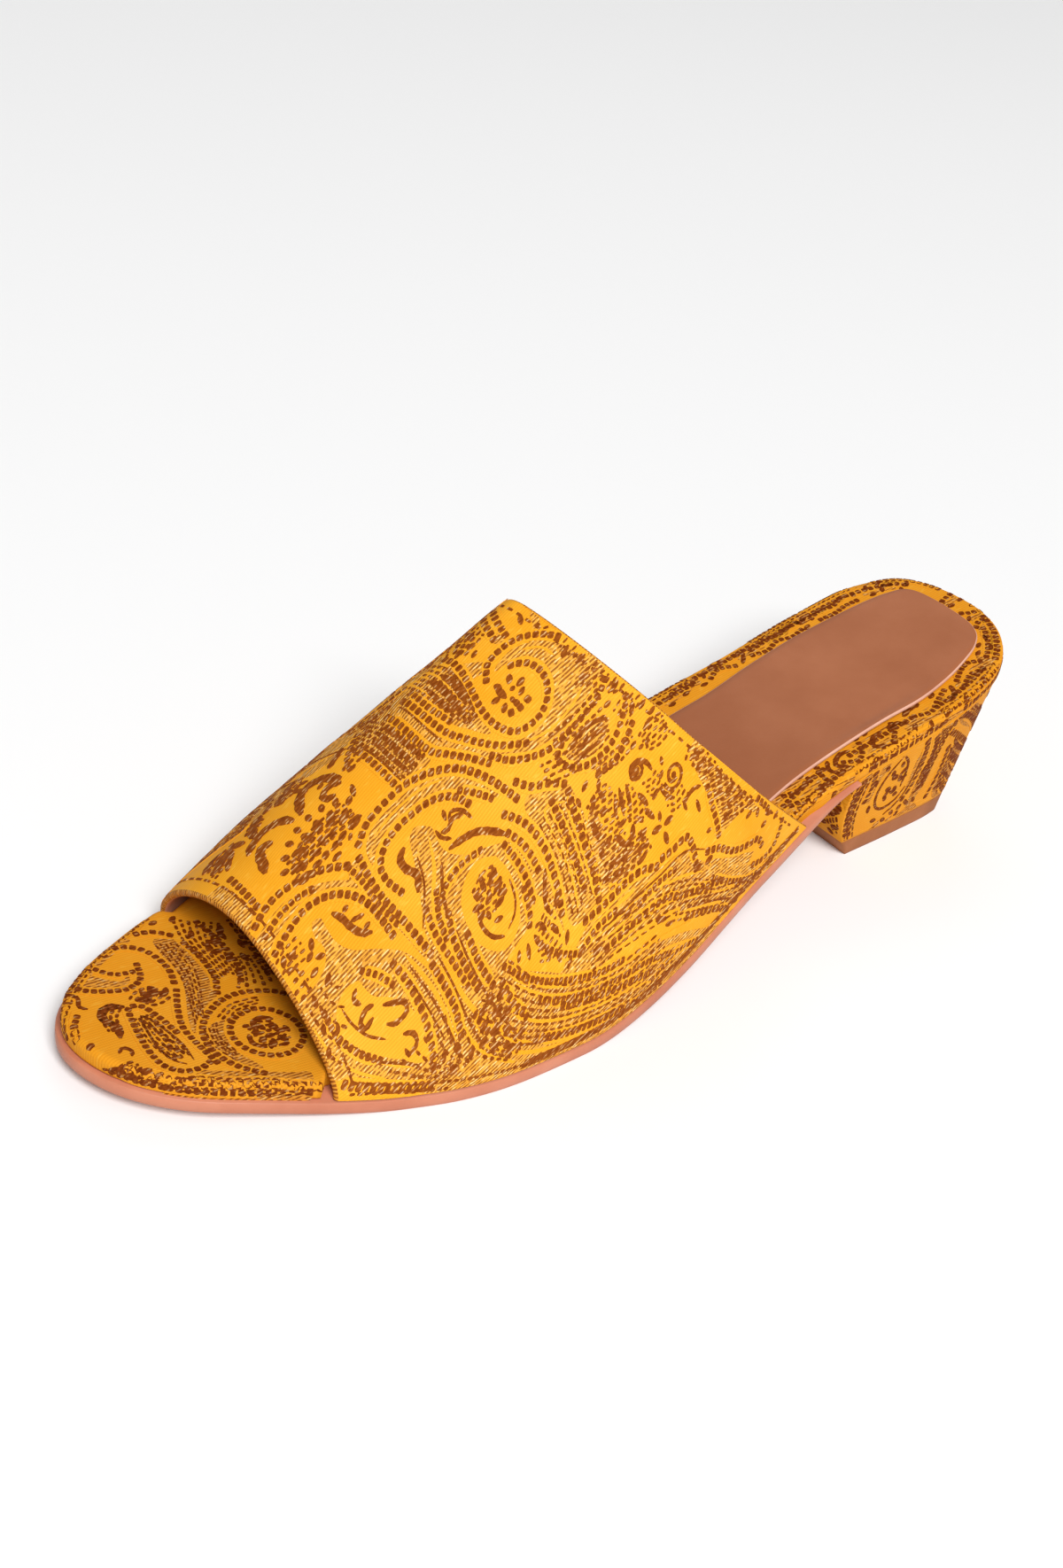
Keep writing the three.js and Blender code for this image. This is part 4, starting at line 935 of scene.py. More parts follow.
        [(138, 17), (139.8, 11.8), (142.4, 8.6), (146, 6.5), (149.6, 6.7), (151, 7.6), (148.6, 7.8),
         (145.4, 9.2), (143.5, 12.4), (143.2, 15.6), (144.2, 19), (147.4, 22.2), (152, 22.8), (155.6, 21.4),
         (158.4, 18.4), (158.6, 21), (154.4, 25), (148, 26.8), (141.4, 25.9), (137.4, 23.2)],
        [(138, 32), (140, 30), (144, 29.3), (147.6, 30), (148.8, 32), (146, 34.6), (141.6, 34.8)],
        [(150.5, 36), (154.5, 33.4), (158.4, 31.2), (160.2, 33.4), (159.2, 38), (158.8, 44), (159.2, 50),
         (160.4, 57), (157, 59), (150.4, 59.2), (150.6, 50), (150.2, 42)],
        [(119.6, 77.6), (126, 71.4), (130.8, 66), (137, 64.2), (146, 61.4), (157, 60.6), (163, 64.4),
         (161, 68), (154, 70.4), (147, 71.6), (139, 74.4), (131.6, 78.4), (124, 82.6), (116, 87.6),
         (106, 89), (94, 87), (101, 84.6), (110, 82)],
        [(108, 79.6), (114, 77.2), (119, 75), (123.4, 73), (121, 77.6), (112, 82)],
        [(122, 47.2), (124.4, 49), (123.8, 54), (122.5, 58.5), (122, 64), (121.2, 69), (117, 68.6),
         (112, 67.8), (108.8, 70.2), (105.8, 70.4), (110, 64.2), (115, 58.2), (119.4, 51.8)],
        [(118, 92), (126, 87), (133, 82.4), (141, 78), (150, 75), (158, 71.6), (165, 66), (171, 60),
         (175.4, 53), (188, 51), (190, 57), (186, 63), (180, 69), (172, 76), (160, 84), (148, 89),
         (132, 93)],
        [(153.2, -9), (158, -9.4), (163, -9), (163.4, 0), (162.8, 8), (160.6, 13), (158.3, 16.6),
         (157.7, 12), (156, 6), (154.8, 0)],
        [(169.4, -9), (175, -9), (175.3, 0), (175.2, 8.6), (171, 10.6), (168.9, 9.4), (169.8, 2)],
        [(189.2, 12.6), (191.6, 12.6), (193.4, 14.6), (192.4, 19), (191.6, 24), (190.6, 30), (189.4, 36),
         (188.2, 40), (188, 33), (189, 26), (189.6, 19)],
        [(133.4, 31.8), (136, 34.6), (140, 37.2), (144, 37.8), (148.2, 35.8), (150.6, 32.4), (151, 29.4),
         (149.6, 28.6), (148.9, 31.6), (146, 34.6), (142, 35.3), (138, 34.2), (134.8, 31.2)],
        [(137.6, 4), (139.6, 8), (137.4, 12), (136, 17), (133.6, 22.6), (136, 24.4), (138, 21), (138.6, 16),
         (140.4, 11.6), (143, 8), (140.6, 6.2), (139, 3)],
        [(139.5, -9), (143.5, -8.4), (146, -4), (147.4, 2), (145.8, 3.8), (143.8, 0), (141.4, -4.4)],
        [(209.9, -8), (214, -8), (214, 4), (210.4, 4)],
        [(150.6, 57), (150.6, 46), (148, 43), (147.4, 50), (144, 54), (141, 58), (146, 59.4)],
    ],
    islands=[
        [(169, 34.6), (172, 32.4), (175.6, 32.6), (178.6, 35.4), (179.4, 40), (178.4, 45), (175, 49),
         (171, 48.6), (168.4, 44.6), (168, 39)],
        [(164.8, 47), (168.6, 50), (172, 50.4), (176, 51.6), (172, 56), (167.4, 60.6), (164.6, 63),
         (162.4, 59.6), (162.6, 52)],
        [(201.4, 29.6), (204.6, 28.8), (208, 31.2), (208, 36), (205, 41.6), (200.6, 47), (196.6, 51.4),
         (194.6, 49), (195, 42.6), (197.6, 37.2), (200.4, 34)],
        [(133, 76.2), (139, 73), (146, 71), (153.4, 70), (150, 72.6), (142, 75.4), (135, 78.6)],
        [(144.6, 62.6), (149, 62), (149.6, 62.8), (145, 63.4)],
    ],
    veins=[
        (.9, [(177.6, 21), (179.6, 26), (183, 31), (185.4, 37), (186, 44), (184.6, 52), (181, 59),
              (175, 66)]),
        (.8, [(166, 38), (165, 43), (165.4, 49), (164.4, 55)]),
        (.8, [(192, 33.6), (190.6, 40), (189.8, 47), (190, 55)]),
        (1.8, [(117, 87.6), (124, 82.8), (131, 79.4), (138, 76), (145, 73.4)]),
        (.7, [(122, 86.6), (130, 82.4), (138, 78.6), (146, 75.6), (154, 73)]),
        (.8, [(130, 86.4), (138, 81.8), (146, 78.2), (155, 74.6), (163, 69.6), (170, 63), (175, 56)]),
        (.6, [(138, 88.4), (146, 83), (155, 78.4), (164, 73), (172, 66.4), (178, 58.6)]),
        (.7, [(150, 87), (158, 82), (166, 77), (174, 71), (181, 64), (186, 57.6)]),
        (.6, [(126, 68.6), (132, 65.6), (140, 64.8), (148, 65), (156, 64.2)]),
        (.6, [(126, 73.6), (134, 69.4), (142, 67), (150, 66.6), (158, 65.6)]),
        (.7, [(183, 52.6), (182, 58), (178.6, 64), (174, 69)]),
        (.7, [(187.4, 52), (186.6, 57), (183.4, 63), (178.4, 69)]),
        (.5, [(203.6, 8.6), (207, 8.4), (211, 9.4)]),
        (.5, [(210, 28), (209.4, 34), (206.8, 40), (203, 45.6), (198.6, 50.6)]),
        (.5, [(212.6, 29), (211.6, 36), (208.6, 42), (204, 47.6)]),
        (.6, [(152.6, 38), (156.8, 36), (157.4, 42), (157, 50), (158, 57)]),
        (.5, [(139.4, 23), (144, 24.6), (149.6, 24.8), (154.4, 23)]),
        (.5, [(141, 14), (142, 10.6), (144.6, 8.2)]),
        (.5, [(169.6, 15.6), (173, 13.3), (177, 12), (181, 11.7), (185, 12.4)]),
        (.5, [(116, 61), (113, 65), (110.6, 68)]),
        (.5, [(112, 85.6), (120, 82), (127, 77.6), (134, 73.6)]),
        (.5, [(104, 87), (112, 84), (120, 79.6), (126, 75.4)]),
        (.45, [(157.8, -6), (158.2, 0), (159, 7), (159, 12)]),
        (.45, [(161.4, -6), (161.9, 0), (161.6, 6)]),
    ],
)

FOOTBED_CLOTH = dict(
    dots=[
        (1.7, [(215.5, -22.5), (218, -24.7), (221.5, -25.6)]),
        (1.7, [(223.4, -9), (222.2, -12.4), (222, -16), (223, -20), (225.6, -22.7), (228.6, -23.4),
               (231, -22.4)]),
        (1.6, [(224.4, -6.6), (226.4, -3.4), (228.4, .4), (229.7, 4), (229.9, 8), (229.8, 12),
               (229.6, 15)]),
        (1.6, [(226.8, -17), (228.6, -12.9), (232.2, -11.3), (236, -12.3), (240, -14.6), (241.6, -17)]),
        (1.5, [(228.8, -15.4), (231.8, -16), (234, -18), (235.4, -20.6)]),
        (1.6, [(245.6, -12), (247.8, -9.6), (249.4, -6.4)]),
        (1.5, [(245.4, -8.6), (247.2, -6.4), (248.4, -3.6)]),
        (1.6, [(231.4, 4), (231.9, -1), (233, -5.4), (235.5, -6.2), (237, -2.5), (238.2, 2), (239, 6.5),
               (238.9, 11), (236.6, 14.2), (233.2, 15), (230.8, 14.4)]),
        (1.7, [(217.8, 29), (221, 26.6), (224.4, 23.8), (228, 22), (231.5, 20), (234.4, 17.8), (238, 16),
               (241, 14.8)]),
        (1.7, [(219, 30.8), (224, 28.8), (230, 26), (236, 22.4), (241, 18.2), (245.4, 13.6)]),
        (1.7, [(215.6, 4.6), (219.6, 5.8), (222.4, 9), (222.8, 13.4), (220.4, 17.4), (216.4, 19),
               (212.4, 18), (209.6, 15), (209, 10.6), (211, 6.6), (214, 4.7)]),
        (1.7, [(204, 6), (207, 2), (211.6, -.2), (216, -.6), (220.6, .8), (225, 3.8), (227.8, 8),
               (228.4, 13), (226.8, 18), (223.6, 21.8)]),
        (1.7, [(214.4, -19), (214.2, -13), (215.2, -7), (217.6, -2.6)]),
        (1.7, [(208, -24), (207.6, -16), (208.6, -9), (211, -4)]),
        (1.7, [(200, -20), (198.6, -10), (199, 0), (202, 8), (205, 16), (206, 24)]),
        # round the sock
        (1.6, [(21, -20.9), (24, -21.9), (28, -20.8), (32, -21.6), (35.4, -20.6)]),
        (1.6, [(22, -18.6), (26, -18.8), (30, -18.4), (34, -18.8)]),
        (1.6, [(40.4, -19), (44, -18.4), (48, -19.6), (52, -18.4), (56, -19.4)]),
        (1.6, [(42, -21.8), (46, -21.2), (50, -22.2), (55, -21.4)]),
        (1.6, [(62, -19), (66, -20.6), (69.6, -19.2)]),
        (1.6, [(74, -20.6), (78, -21.4), (82, -20)]),
        (1.6, [(3, -5.6), (6.4, -5)]),
        (1.6, [(2.4, 3.4), (5, 2.6), (6.6, 1.4)]),
        (1.6, [(3, 7), (5.6, 6.2), (8, 7.4)]),
        (1.6, [(17.4, 17), (20, 15.6), (23.4, 16.4), (27, 18.4)]),
        (1.6, [(19, 19.6), (23, 19), (27, 20.8)]),
        (1.6, [(32, 19), (36, 20.6), (40, 22.4), (44, 21)]),
        (1.6, [(50, 19.4), (51.6, 22), (54, 24)]),
        (1.6, [(60.6, 19.6), (62, 22), (65, 23.6), (68, 22)]),
        (1.6, [(74, 19.6), (75, 22), (75.4, 25)]),
        (1.6, [(78, 21), (82, 22.4), (86, 21.6)]),
        (1.6, [(77.6, 24.6), (82, 25.6), (87, 24.8)]),
    ],
    strokes=[
        (.9, [(242, -17.6), (243.6, -15.8), (242.4, -13.4), (243.5, -11), (242.4, -9.6)]),
        (1.8, [(236, -6.8), (238.4, -8.2), (240.8, -7.4), (241.4, -5), (240.4, -2.4), (241.6, .6)]),
        (.5, [(233, 12.4), (232.4, 8), (232.8, 3), (233.8, -1.6), (234.9, -3), (236, 1), (236.9, 6),
              (236.4, 10.6), (234.8, 12.8)]),
        (.8, [(244.2, 4.2), (242.8, 3.2), (241.7, 4.6), (242.5, 6)]),
        (.5, [(250, 3.6), (246.6, 3.4), (244.6, 1)]),
        (1.2, [(212.4, 9), (214.6, 7.6), (217, 8.6), (217.4, 11)]),
        (1.1, [(219.6, 11), (220.4, 13.6), (218.6, 15.8)]),
        (1.4, [(36, -22.6), (38.4, -21), (40, -22.4)]),
        (1.2, [(10.4, -17.4), (13, -18.6), (14.6, -17)]),
        (1.1, [(57, -22), (58.4, -20), (60, -18.6)]),
        (1.2, [(62.4, -22), (65, -22.6), (68, -22)]),
        (1.3, [(29.6, 18.6), (31, 21.4), (34, 22.6)]),
        (1.4, [(40, 18.6), (43, 18.4), (46, 19.4)]),
        (1.2, [(47, 22), (49, 20), (52, 20)]),
        (1.3, [(53.6, 19.8), (57, 20.4), (58.6, 22.6), (56, 24)]),
        (1.2, [(64, 20), (67, 19.6), (70, 21.6), (68, 24)]),
        (1.1, [(70.6, 19.4), (72.4, 22), (71, 25)]),
    ],
    petals=[
        (228.8, -8.6, 3.4, 1.7, 80), (231.2, -6.8, 3.4, 1.6, 130), (226.6, -7.2, 3, 1.4, 50),
        (233.9, 5.6, 2.6, .8, 120), (235.2, 7, 2.8, .8, 120), (233.9, 8.8, 2.6, .8, 120),
        (235.3, 10, 2.4, .8, 120), (234.4, 2.8, 2.6, .8, 110), (234.6, .2, 2.4, .7, 100),
        (246, 6.8, 3.2, .9, 125), (247.4, 8, 3.2, .9, 125), (244.6, 9.4, 3, .9, 120),
        (246, 10.6, 3, .9, 120), (243.6, 12.2, 2.8, 1, 160), (242.2, 10.6, 2.2, 1, 150),
        (241, 12.6, 2.2, 1, 170), (213.6, 11.4, 2.4, 1.3, 60), (216, 13, 2.4, 1.4, 0),
        (214, 14.6, 2.4, 1.3, 120), (211.8, 12.6, 2.2, 1.2, 90), (217.6, 15.6, 2.2, 1.1, 60),
        (218.6, 8.6, 1.6, 1.1, 0), (214.8, 16.4, 2, 1.1, 0), (210.6, -16, 3, 1.4, 70),
        (211.4, -21, 3, 1.4, 60), (204, -14, 3, 1.4, 80), (204.6, -4, 3, 1.4, 60), (205, -20, 3, 1.4, 70),
        (220.4, -28, 2.2, 1.3, 10), (212, -27, 2.4, 1.3, 30), (216.4, -27.4, 2.2, 1.3, 10),
        (13, -20.2, 2.4, 1.2, 30), (16.6, -20.8, 2.2, 1.2, 60), (17, -17.8, 2.2, 1.2, 0),
        (10.4, -14.6, 2.4, 1.2, 60), (7.6, -15.6, 2.4, 1.2, 50), (6, -2.4, 2.4, 1.3, 0),
        (2.6, -2.6, 2, 1.2, 0), (2, .6, 2, 1.2, 10), (6.8, 4, 2.2, 1.1, 40), (9.6, 11.6, 2.6, 1.2, 60),
        (13, 12.6, 2.2, 1.2, 20), (11.4, 15, 2.4, 1.2, 40), (15.4, 14.6, 2.4, 1.2, 20),
        (35.6, 18.4, 2.4, 1.3, 20), (46.6, 23.6, 2.4, 1.2, 30), (60, 18, 2.2, 1.2, 0),
        (57, 18, 2.2, 1.1, 20), (74.4, 17.8, 2.2, 1.2, 0), (79, 19.4, 2.4, 1.2, 10),
        (83.4, 19.8, 2.4, 1.2, 0), (70.4, -21, 2.4, 1.2, 70), (72.4, -18.4, 2.2, 1.1, 0),
        (78, -18.6, 2.4, 1.2, 10), (83, -17.8, 2.2, 1.2, 0), (38.6, -18.8, 2.4, 1.3, 20),
        (58.6, -21.8, 2.4, 1.2, 30), (30, 24, 2.6, 1.2, 40), (37, 24.4, 2.4, 1.2, 20),
        (43, 25, 2.6, 1.2, 30), (22, 22, 2.6, 1.2, 40), (61, 25.4, 2.4, 1.2, 0),
    ],
    spirals=[(247.4, -.2, 2.6)],
    hatches=[
        ([(204, -22), (207, -18), (209, -12), (210.4, -6)],
         [(212, -27), (214, -20), (214.6, -12), (215.6, -6)], 7, 2, .8),
        ([(204, -10), (205, -4), (206, 0)], [(208, -11), (210, -6), (213, -2)], 5, 1.9, .8),
        ([(216, -20), (217, -12), (220, -5), (224, 2)],
         [(220, -21), (220.6, -12), (223, -5), (227, 4)], 5, 2.2, .5),
        ([(211, 2), (217, 1.6), (222, 4)], [(212, 3.6), (217, 3.6), (222, 6.4)], 3, 2, .6),
        ([(223, 5), (225, 9), (224.6, 14)], [(226.4, 6), (227.4, 11), (226, 17)], 4, 2, .5),
        ([(213, 9.6), (216, 8.4), (219, 10)], [(212.6, 15), (216, 16.4), (219, 14.6)], 6, 1.7, .8),
        ([(227.6, -9.6), (231, -10), (234, -8.4)], [(226.4, -5.6), (229, -4.6), (231.4, -5)], 5, 1.8, .7),
        ([(233, -3), (232.8, 4), (233, 11)], [(236, -3), (237.4, 4), (236.6, 11)], 6, 1.8, .55),
        ([(238, -9), (241.4, -7.6), (242.4, -2)], [(236, -7.4), (239, -5), (240.4, -.6)], 4, 1.7, .7),
        ([(243, 7.6), (246.4, 6.4), (249, 4)], [(241.4, 13), (244.6, 12), (248, 8.4)], 6, 1.7, .7),
        ([(219, 31), (230, 26.6), (240, 19.4)], [(218, 28.4), (229, 23.8), (240, 16.4)], 5, 1.9, .6),
        # The last two hatches, in the tunnel under the band's front end, lie dense: the cloth's brown
        # pattern, laid denser as painted shade.
        ([(196, 18), (203, 20), (209, 23)], [(196, 26), (204, 28), (212, 29)], 8, 2.1, .8),
        ([(194, -24), (198, -10), (198, 4), (196, 14)],
         [(202, -22), (203.4, -10), (204, 2), (205, 12)], 8, 2.1, .9),
    ],
    fans=[(215.6, 12.6, 2.6, 2.4, 1.4, -180, 120, 7), (243.6, 10.6, 2.4, 2.8, 1.1, -60, 90, 5),
          (206, -14, 4, 3, 1.5, -90, 90, 5), (229.4, -5.6, 2.8, 3.2, 1.6, -150, -30, 4)],
    veins=[(.5, [(217, -18), (218.4, -10), (221.6, -4), (226, 2)]),
     (.5, [(222, 29), (229, 25.4), (236, 21.4)])],
    fields=[
        [(229.8, -15.2), (232.6, -14), (236, -17.4), (238, -20.4), (239.8, -18.6), (239.6, -16.2),
         (237.6, -14), (234.5, -12.9), (231.2, -12.8)],
        [(220, 28.2), (226, 24.8), (232, 22.2), (236, 19.4), (240, 16.6), (243, 15.8), (241.6, 18.4),
         (237, 22), (231, 25.4), (225, 28.4), (220.4, 30.4), (218, 30.6)],
        [(215.6, -21), (219.6, -22.4), (220.8, -16), (221.2, -10), (223.4, -5), (227, 1.4), (228.6, 6),
         (224, 2.4), (219, -.8), (216.6, -6), (215.6, -14)],
        [(221, 5), (224.4, 5.4), (227, 9), (227.4, 13), (225.6, 17.6), (222.6, 20.6), (224.6, 14),
         (223.6, 9)],
        [(75.6, -21.6), (84, -20.8), (84, -18.4), (76, -18.8)],
        [(76, 20), (88, 20), (88, 27), (76, 26)],
        [(36, 23), (42, 23.6), (46, 25), (40, 26)],
        [(27, 18.6), (29, 19.8), (28.4, 22.4), (24, 21.8)],
        [(2, -5), (7, -4.6), (6.6, -3), (2, -3.2)],
        [(44, -21), (56, -21.4), (56, -19.8), (44, -20)],
    ],
    islands=[],
)

# Rows of dots along the footbed's rim: side (-1 outer), first and last share of the length, and inset.
# Fields along it: the same, with the insets of both long sides.
RIM_DOTS = [
    (-1, .004, .05, 2.8), (-1, .012, .05, 4.8), (-1, .06, .15, 2.2), (-1, .07, .15, 4.2),
    (-1, .02, .12, .2),
    (-1, .15, .25, .2), (-1, .18, .26, 5.6), (-1, .19, .27, 1.9), (-1, .28, .36, 3), (-1, .29, .36, 6.4),
    (-1, .3, .37, .4), (-1, .865, .985, 1.4), (-1, .9, .99, .1), (1, .004, .05, 2.4), (1, .02, .08, 4.4),
    (1, .08, .14, 2.2), (1, .09, .14, 4.2), (1, .15, .21, 2.4), (1, .15, .22, 4.4), (1, .22, .29, 3.2),
    (1, .3, .36, 2.4), (1, .3, .36, 4.6), (1, .87, .95, 1.6), (1, .95, .985, 2.4)]
RIM_FIELDS = [
    (-1, .052, .09, .2, 6.6), (-1, .155, .195, -.4, 5.6), (-1, .27, .335, -.4, 4.4),
    (-1, .205, .25, 3, 7.4),
    (-1, .1, .15, -.4, 3), (-1, .87, .955, -.4, 4.6), (-1, .002, .02, .4, 6), (-1, .34, .39, 1, 8),
    (1, .03, .07, .6, 6.4), (1, .115, .155, .4, 5.8), (1, .2, .24, .4, 5.2), (1, .29, .35, .4, 5.4),
    (1, .9, .96, .4, 3.6)]


HEEL_CLOTH = dict(
    dots=[
        (1.8, [(2.4, 2), (3, 8), (2.6, 14), (3, 20), (3.4, 26)]),
        (1.8, [(5.6, 1.6), (7, 6), (6.6, 10)]),
        (1.8, [(21.4, 1.6), (23.6, 6), (25, 11), (25, 16), (23.6, 19)]),
        (1.8, [(24, 1), (26.4, 5), (28, 10)]),
        (1.8, [(17, 23), (19.6, 25.4), (22.6, 24.6), (23.6, 21.6)]),
        (1.8, [(35, 11), (36, 15), (36.4, 20), (35.6, 25)]),
        (1.8, [(53.6, 19.6), (55.6, 24), (56.6, 29)]),
        (1.8, [(60, 4), (62, 8.4), (64, 12)]),
        (1.8, [(58, 10.6), (58.6, 14), (59.4, 18)]),
        (1.8, [(62.6, 24), (63.6, 28), (62.4, 31)]),
        (1.8, [(66, 21.6), (67.6, 25), (67.4, 29)]),
        (1.8, [(50, 2), (53, 6), (54.6, 11)]),
        (1.8, [(32, 5), (37, 8.6), (42, 12.6), (46.6, 16.6)]),
        (1.8, [(34, 1.4), (39, 4.6), (44, 9), (48, 13.6)]),
        (1.8, [(38, 14.6), (43, 19), (48, 22.6), (50.6, 27)]),
        (1.8, [(40, 23.6), (44, 27.6), (48, 31)]),
        (1.8, [(60.6, 1.6), (65, 4.6), (69, 8.6)]),
        (1.8, [(64.6, 8), (67, 13), (67.6, 18)]),
        (1.8, [(1.4, 5), (1.6, 12), (1.4, 18)]),
    ],
    strokes=[
        (.7, [(14, 1.6), (11.4, 5.4), (10.6, 10), (12, 14.6), (15.6, 17.2), (20, 17), (22, 14.4)]),
        (.6, [(14.6, 1.8), (17.4, 5), (19, 9), (19.6, 13)]),
        (.6, [(22.2, 3), (23.4, 9), (23.6, 15), (21.6, 18.6), (17, 20)]),
        (1.2, [(6.6, 20), (7, 23), (9.6, 23.6), (10.4, 21.4)]),
        (.7, [(11.8, 22), (11, 26), (12, 30)]),
        (1.4, [(26.8, 13), (29.6, 15), (30.2, 18.4), (27.6, 20)]),
        (1, [(25, 20.4), (27.6, 23)]),
        (1.2, [(25, 29), (28, 27.6), (30, 29.6)]),
        (1, [(36, 9), (40, 13), (45, 17), (50, 20.4)]),
        (.9, [(36.6, 12), (41, 16.4), (46, 20.4)]),
        (.9, [(37.6, 19), (42, 22.6), (46, 26.4)]),
        (.9, [(36.6, 23), (41, 27), (45, 31)]),
        (1, [(43, 4), (47, 8.4), (52, 12)]),
        (.8, [(46, 2.6), (50, 6.8), (54, 10)]),
        (.8, [(32, 25), (35, 28.4), (38, 31.6)]),
        (1, [(14, 25), (15, 28.6), (18, 30.4)]),
    ],
    petals=[
        (13.6, 6, 2.4, 1.2, 60), (15.4, 8, 2.2, 1.3, 40), (17.6, 9.6, 2.6, 1.3, 60),
        (14.6, 11, 2.4, 1.3, 30), (16.8, 12.8, 2.6, 1.3, 30), (18.6, 14.6, 2, 1.2, 20),
        (14.8, 13.8, 2, 1.2, 60), (15.6, 4.6, 2.2, 1.1, 60), (9.4, 14, 2.6, 1.3, 80),
        (8, 5.6, 2.6, 1.3, 60), (9.8, 2.6, 2.4, 1.2, 50), (13, 19.6, 2.6, 1.2, 20),
        (17.6, 22, 2.4, 1.3, 30), (20.6, 21.4, 2.2, 1.3, 40), (16.6, 26.4, 2.6, 1.4, 60),
        (20.4, 29, 2.6, 1.3, 20), (23.6, 28, 2.4, 1.3, 60), (33, 27, 2.4, 1.3, 40), (7.6, 31, 2.4, 1.2, 50),
        (31, 2, 3, 1.4, 50), (29.4, 22.6, 2.4, 1.2, 50), (39, 24.6, 2.4, 1.2, 40),
        (50.6, 24.4, 2.6, 1.3, 60), (52.6, 28, 2.6, 1.3, 60), (50, 30, 2.6, 1.3, 60),
        (47, 23, 2.6, 1.2, 50), (57, 17, 2.4, 1.4, 30), (61, 16.6, 2.4, 1.4, 0), (63.6, 18.4, 2.2, 1.3, 30),
        (61.4, 5.6, 2.6, 1.4, 30), (65, 10.6, 2.2, 1.4, 0), (66.6, 13, 2.4, 1.4, 20),
        (62, 20.6, 2.2, 1.3, 0), (65, 16, 2.4, 1.3, 0), (64, 3, 2.6, 1.3, 30), (67.6, 5, 2.6, 1.3, 20),
        (68, 17.6, 2.4, 1.3, 0), (69, 9, 2.4, 1.2, 60), (59, 2, 2.6, 1.2, 40), (56, 4.6, 2.4, 1.1, 40),
    ],
    spirals=[],
    hatches=[
        ([(37.6, 12), (43, 16), (49, 20.6), (53, 26)],
         [(37.6, 19), (40, 25), (44, 30), (52, 31)], 8, 2.2, .6),
        ([(25.8, 1), (27.4, 8), (27.4, 17)], [(30, 2), (30.6, 10), (31, 20)], 5, 2.1, .7),
        ([(1, 2), (1.4, 12), (1.4, 26)], [(4.4, 2), (4.6, 12), (4.6, 26)], 4, 2.2, .7),
        ([(31.4, 1), (38, 4), (46, 11)], [(38, 1), (44, 6), (50, 12)], 5, 2, .6),
        ([(12, 23.4), (15, 22), (17, 25)], [(12.6, 30), (15, 30), (16.4, 29)], 5, 1.8, .7),
        ([(52, 2), (56, 8), (60, 16)], [(62, 2), (64, 8), (67, 18)], 7, 2.1, .7),
    ],
    fans=[(20, 26, 2.8, 2.4, 1.4, -150, 60, 5), (16, 10, 2.8, 2.4, 1.3, -120, 120, 5)],
    veins=[(.7, [(38, 14), (44, 18.4), (50, 23), (53, 28)]), (.7, [(38, 20), (43, 24), (48, 29)]),
           (.6, [(48.4, 3), (53, 8), (57, 14)])],
    fields=[
        [(37.4, 11.4), (43, 15.4), (50, 19.4), (53.6, 24), (55, 30), (48, 32), (42, 30), (38, 25),
         (36.8, 18)],
        [(46, 1), (50, 1), (55, 6.6), (58, 13), (59, 18), (56.6, 15), (53, 11), (48.6, 6.6)],
        [(21.6, 3), (24, 8), (24.8, 15), (23.4, 18.6), (22.4, 12), (21.4, 7)],
        [(63.4, 23), (69, 23), (69, 31), (64, 31)],
        [(17, 24), (22, 23), (23, 27), (18.4, 29)],
        [(.8, 1), (4.4, 1), (5, 10), (4.6, 20), (5, 27), (1, 20)],
        [(7.4, 1.2), (10.4, 1.4), (9, 6), (8.8, 12), (7, 9)],
        [(25.6, .8), (30, 1.6), (29, 8), (31.4, 14), (31.4, 20), (28, 24), (27, 18), (28, 12), (26.6, 6)],
        [(11.6, 23), (15.6, 21), (17, 26), (14, 30)],
        [(24, 24.6), (30, 24), (34, 29), (26, 30.6)],
        [(31, .6), (38, .6), (44, 5), (50, 11), (48, 13), (41, 8.6), (35, 4.4)],
        [(58, .8), (68, .8), (70, 6), (64, 7), (60, 4)],
    ],
    islands=[],
)

# The brocade's motifs, woven as thin raised patches

FIELD_LIFT, ISLAND_LIFT, YARN_LIFT = 0.05, 0.09, 0.14  # millimetres over the piece that they lie on
ROOT = -0.05  # how deep a patch's side goes into the cloth
LEAST_SHARE = 0.15  # a soft patch with less than this on the piece is left out
DOT_LENGTH, DOT_WIDTH, DOT_RIBBON = 0.82, 0.9, 1.5  # in pitches
DASH_START, DASH_END = 0.1, 0.85  # of a hatch's dash, in pitches
SHORTEST_DASH = 0.5
SPIRAL_TURNS = 1.35


def curve_through(points, step):
    """A smooth line through charted points, in even steps."""
    p = np.array(points, float)
    ends = np.vstack([2 * p[0] - p[1], p, 2 * p[-1] - p[-2]])
    t = np.linspace(0, 1, 12, endpoint=False)[:, None]
    parts = []
    for a, b, c, d in zip(ends, ends[1:], ends[2:], ends[3:]):
        bend = (2 * a - 5 * b + 4 * c - d) * t ** 2 + (3 * b - a - 3 * c + d) * t ** 3
        parts.append(.5 * (2 * b + (c - a) * t + bend))
    line = np.vstack(parts + [p[-1:]])
    run = length_along(line, 0)
    at = np.linspace(0, run[-1], max(int(round(run[-1] / step)), 1) + 1)
    return np.stack([np.interp(at, run, line[:, k]) for k in (0, 1)], -1)


def resampled(line, shares):
    """A line's points at shares of its count of points."""
    own = np.linspace(0, 1, len(line))
    return np.stack([np.interp(shares, own, line[:, k]) for k in (0, 1)], -1)


def turned_by(points, degrees):
    a = math.radians(degrees)
    return points @ np.array([[math.cos(a), math.sin(a)], [-math.sin(a), math.cos(a)]])


def headings(line):
    """Unit vectors along a line and across it."""
    run = unit(np.gradient(line, axis=0))
    return run, np.stack([-run[:, 1], run[:, 0]], -1)


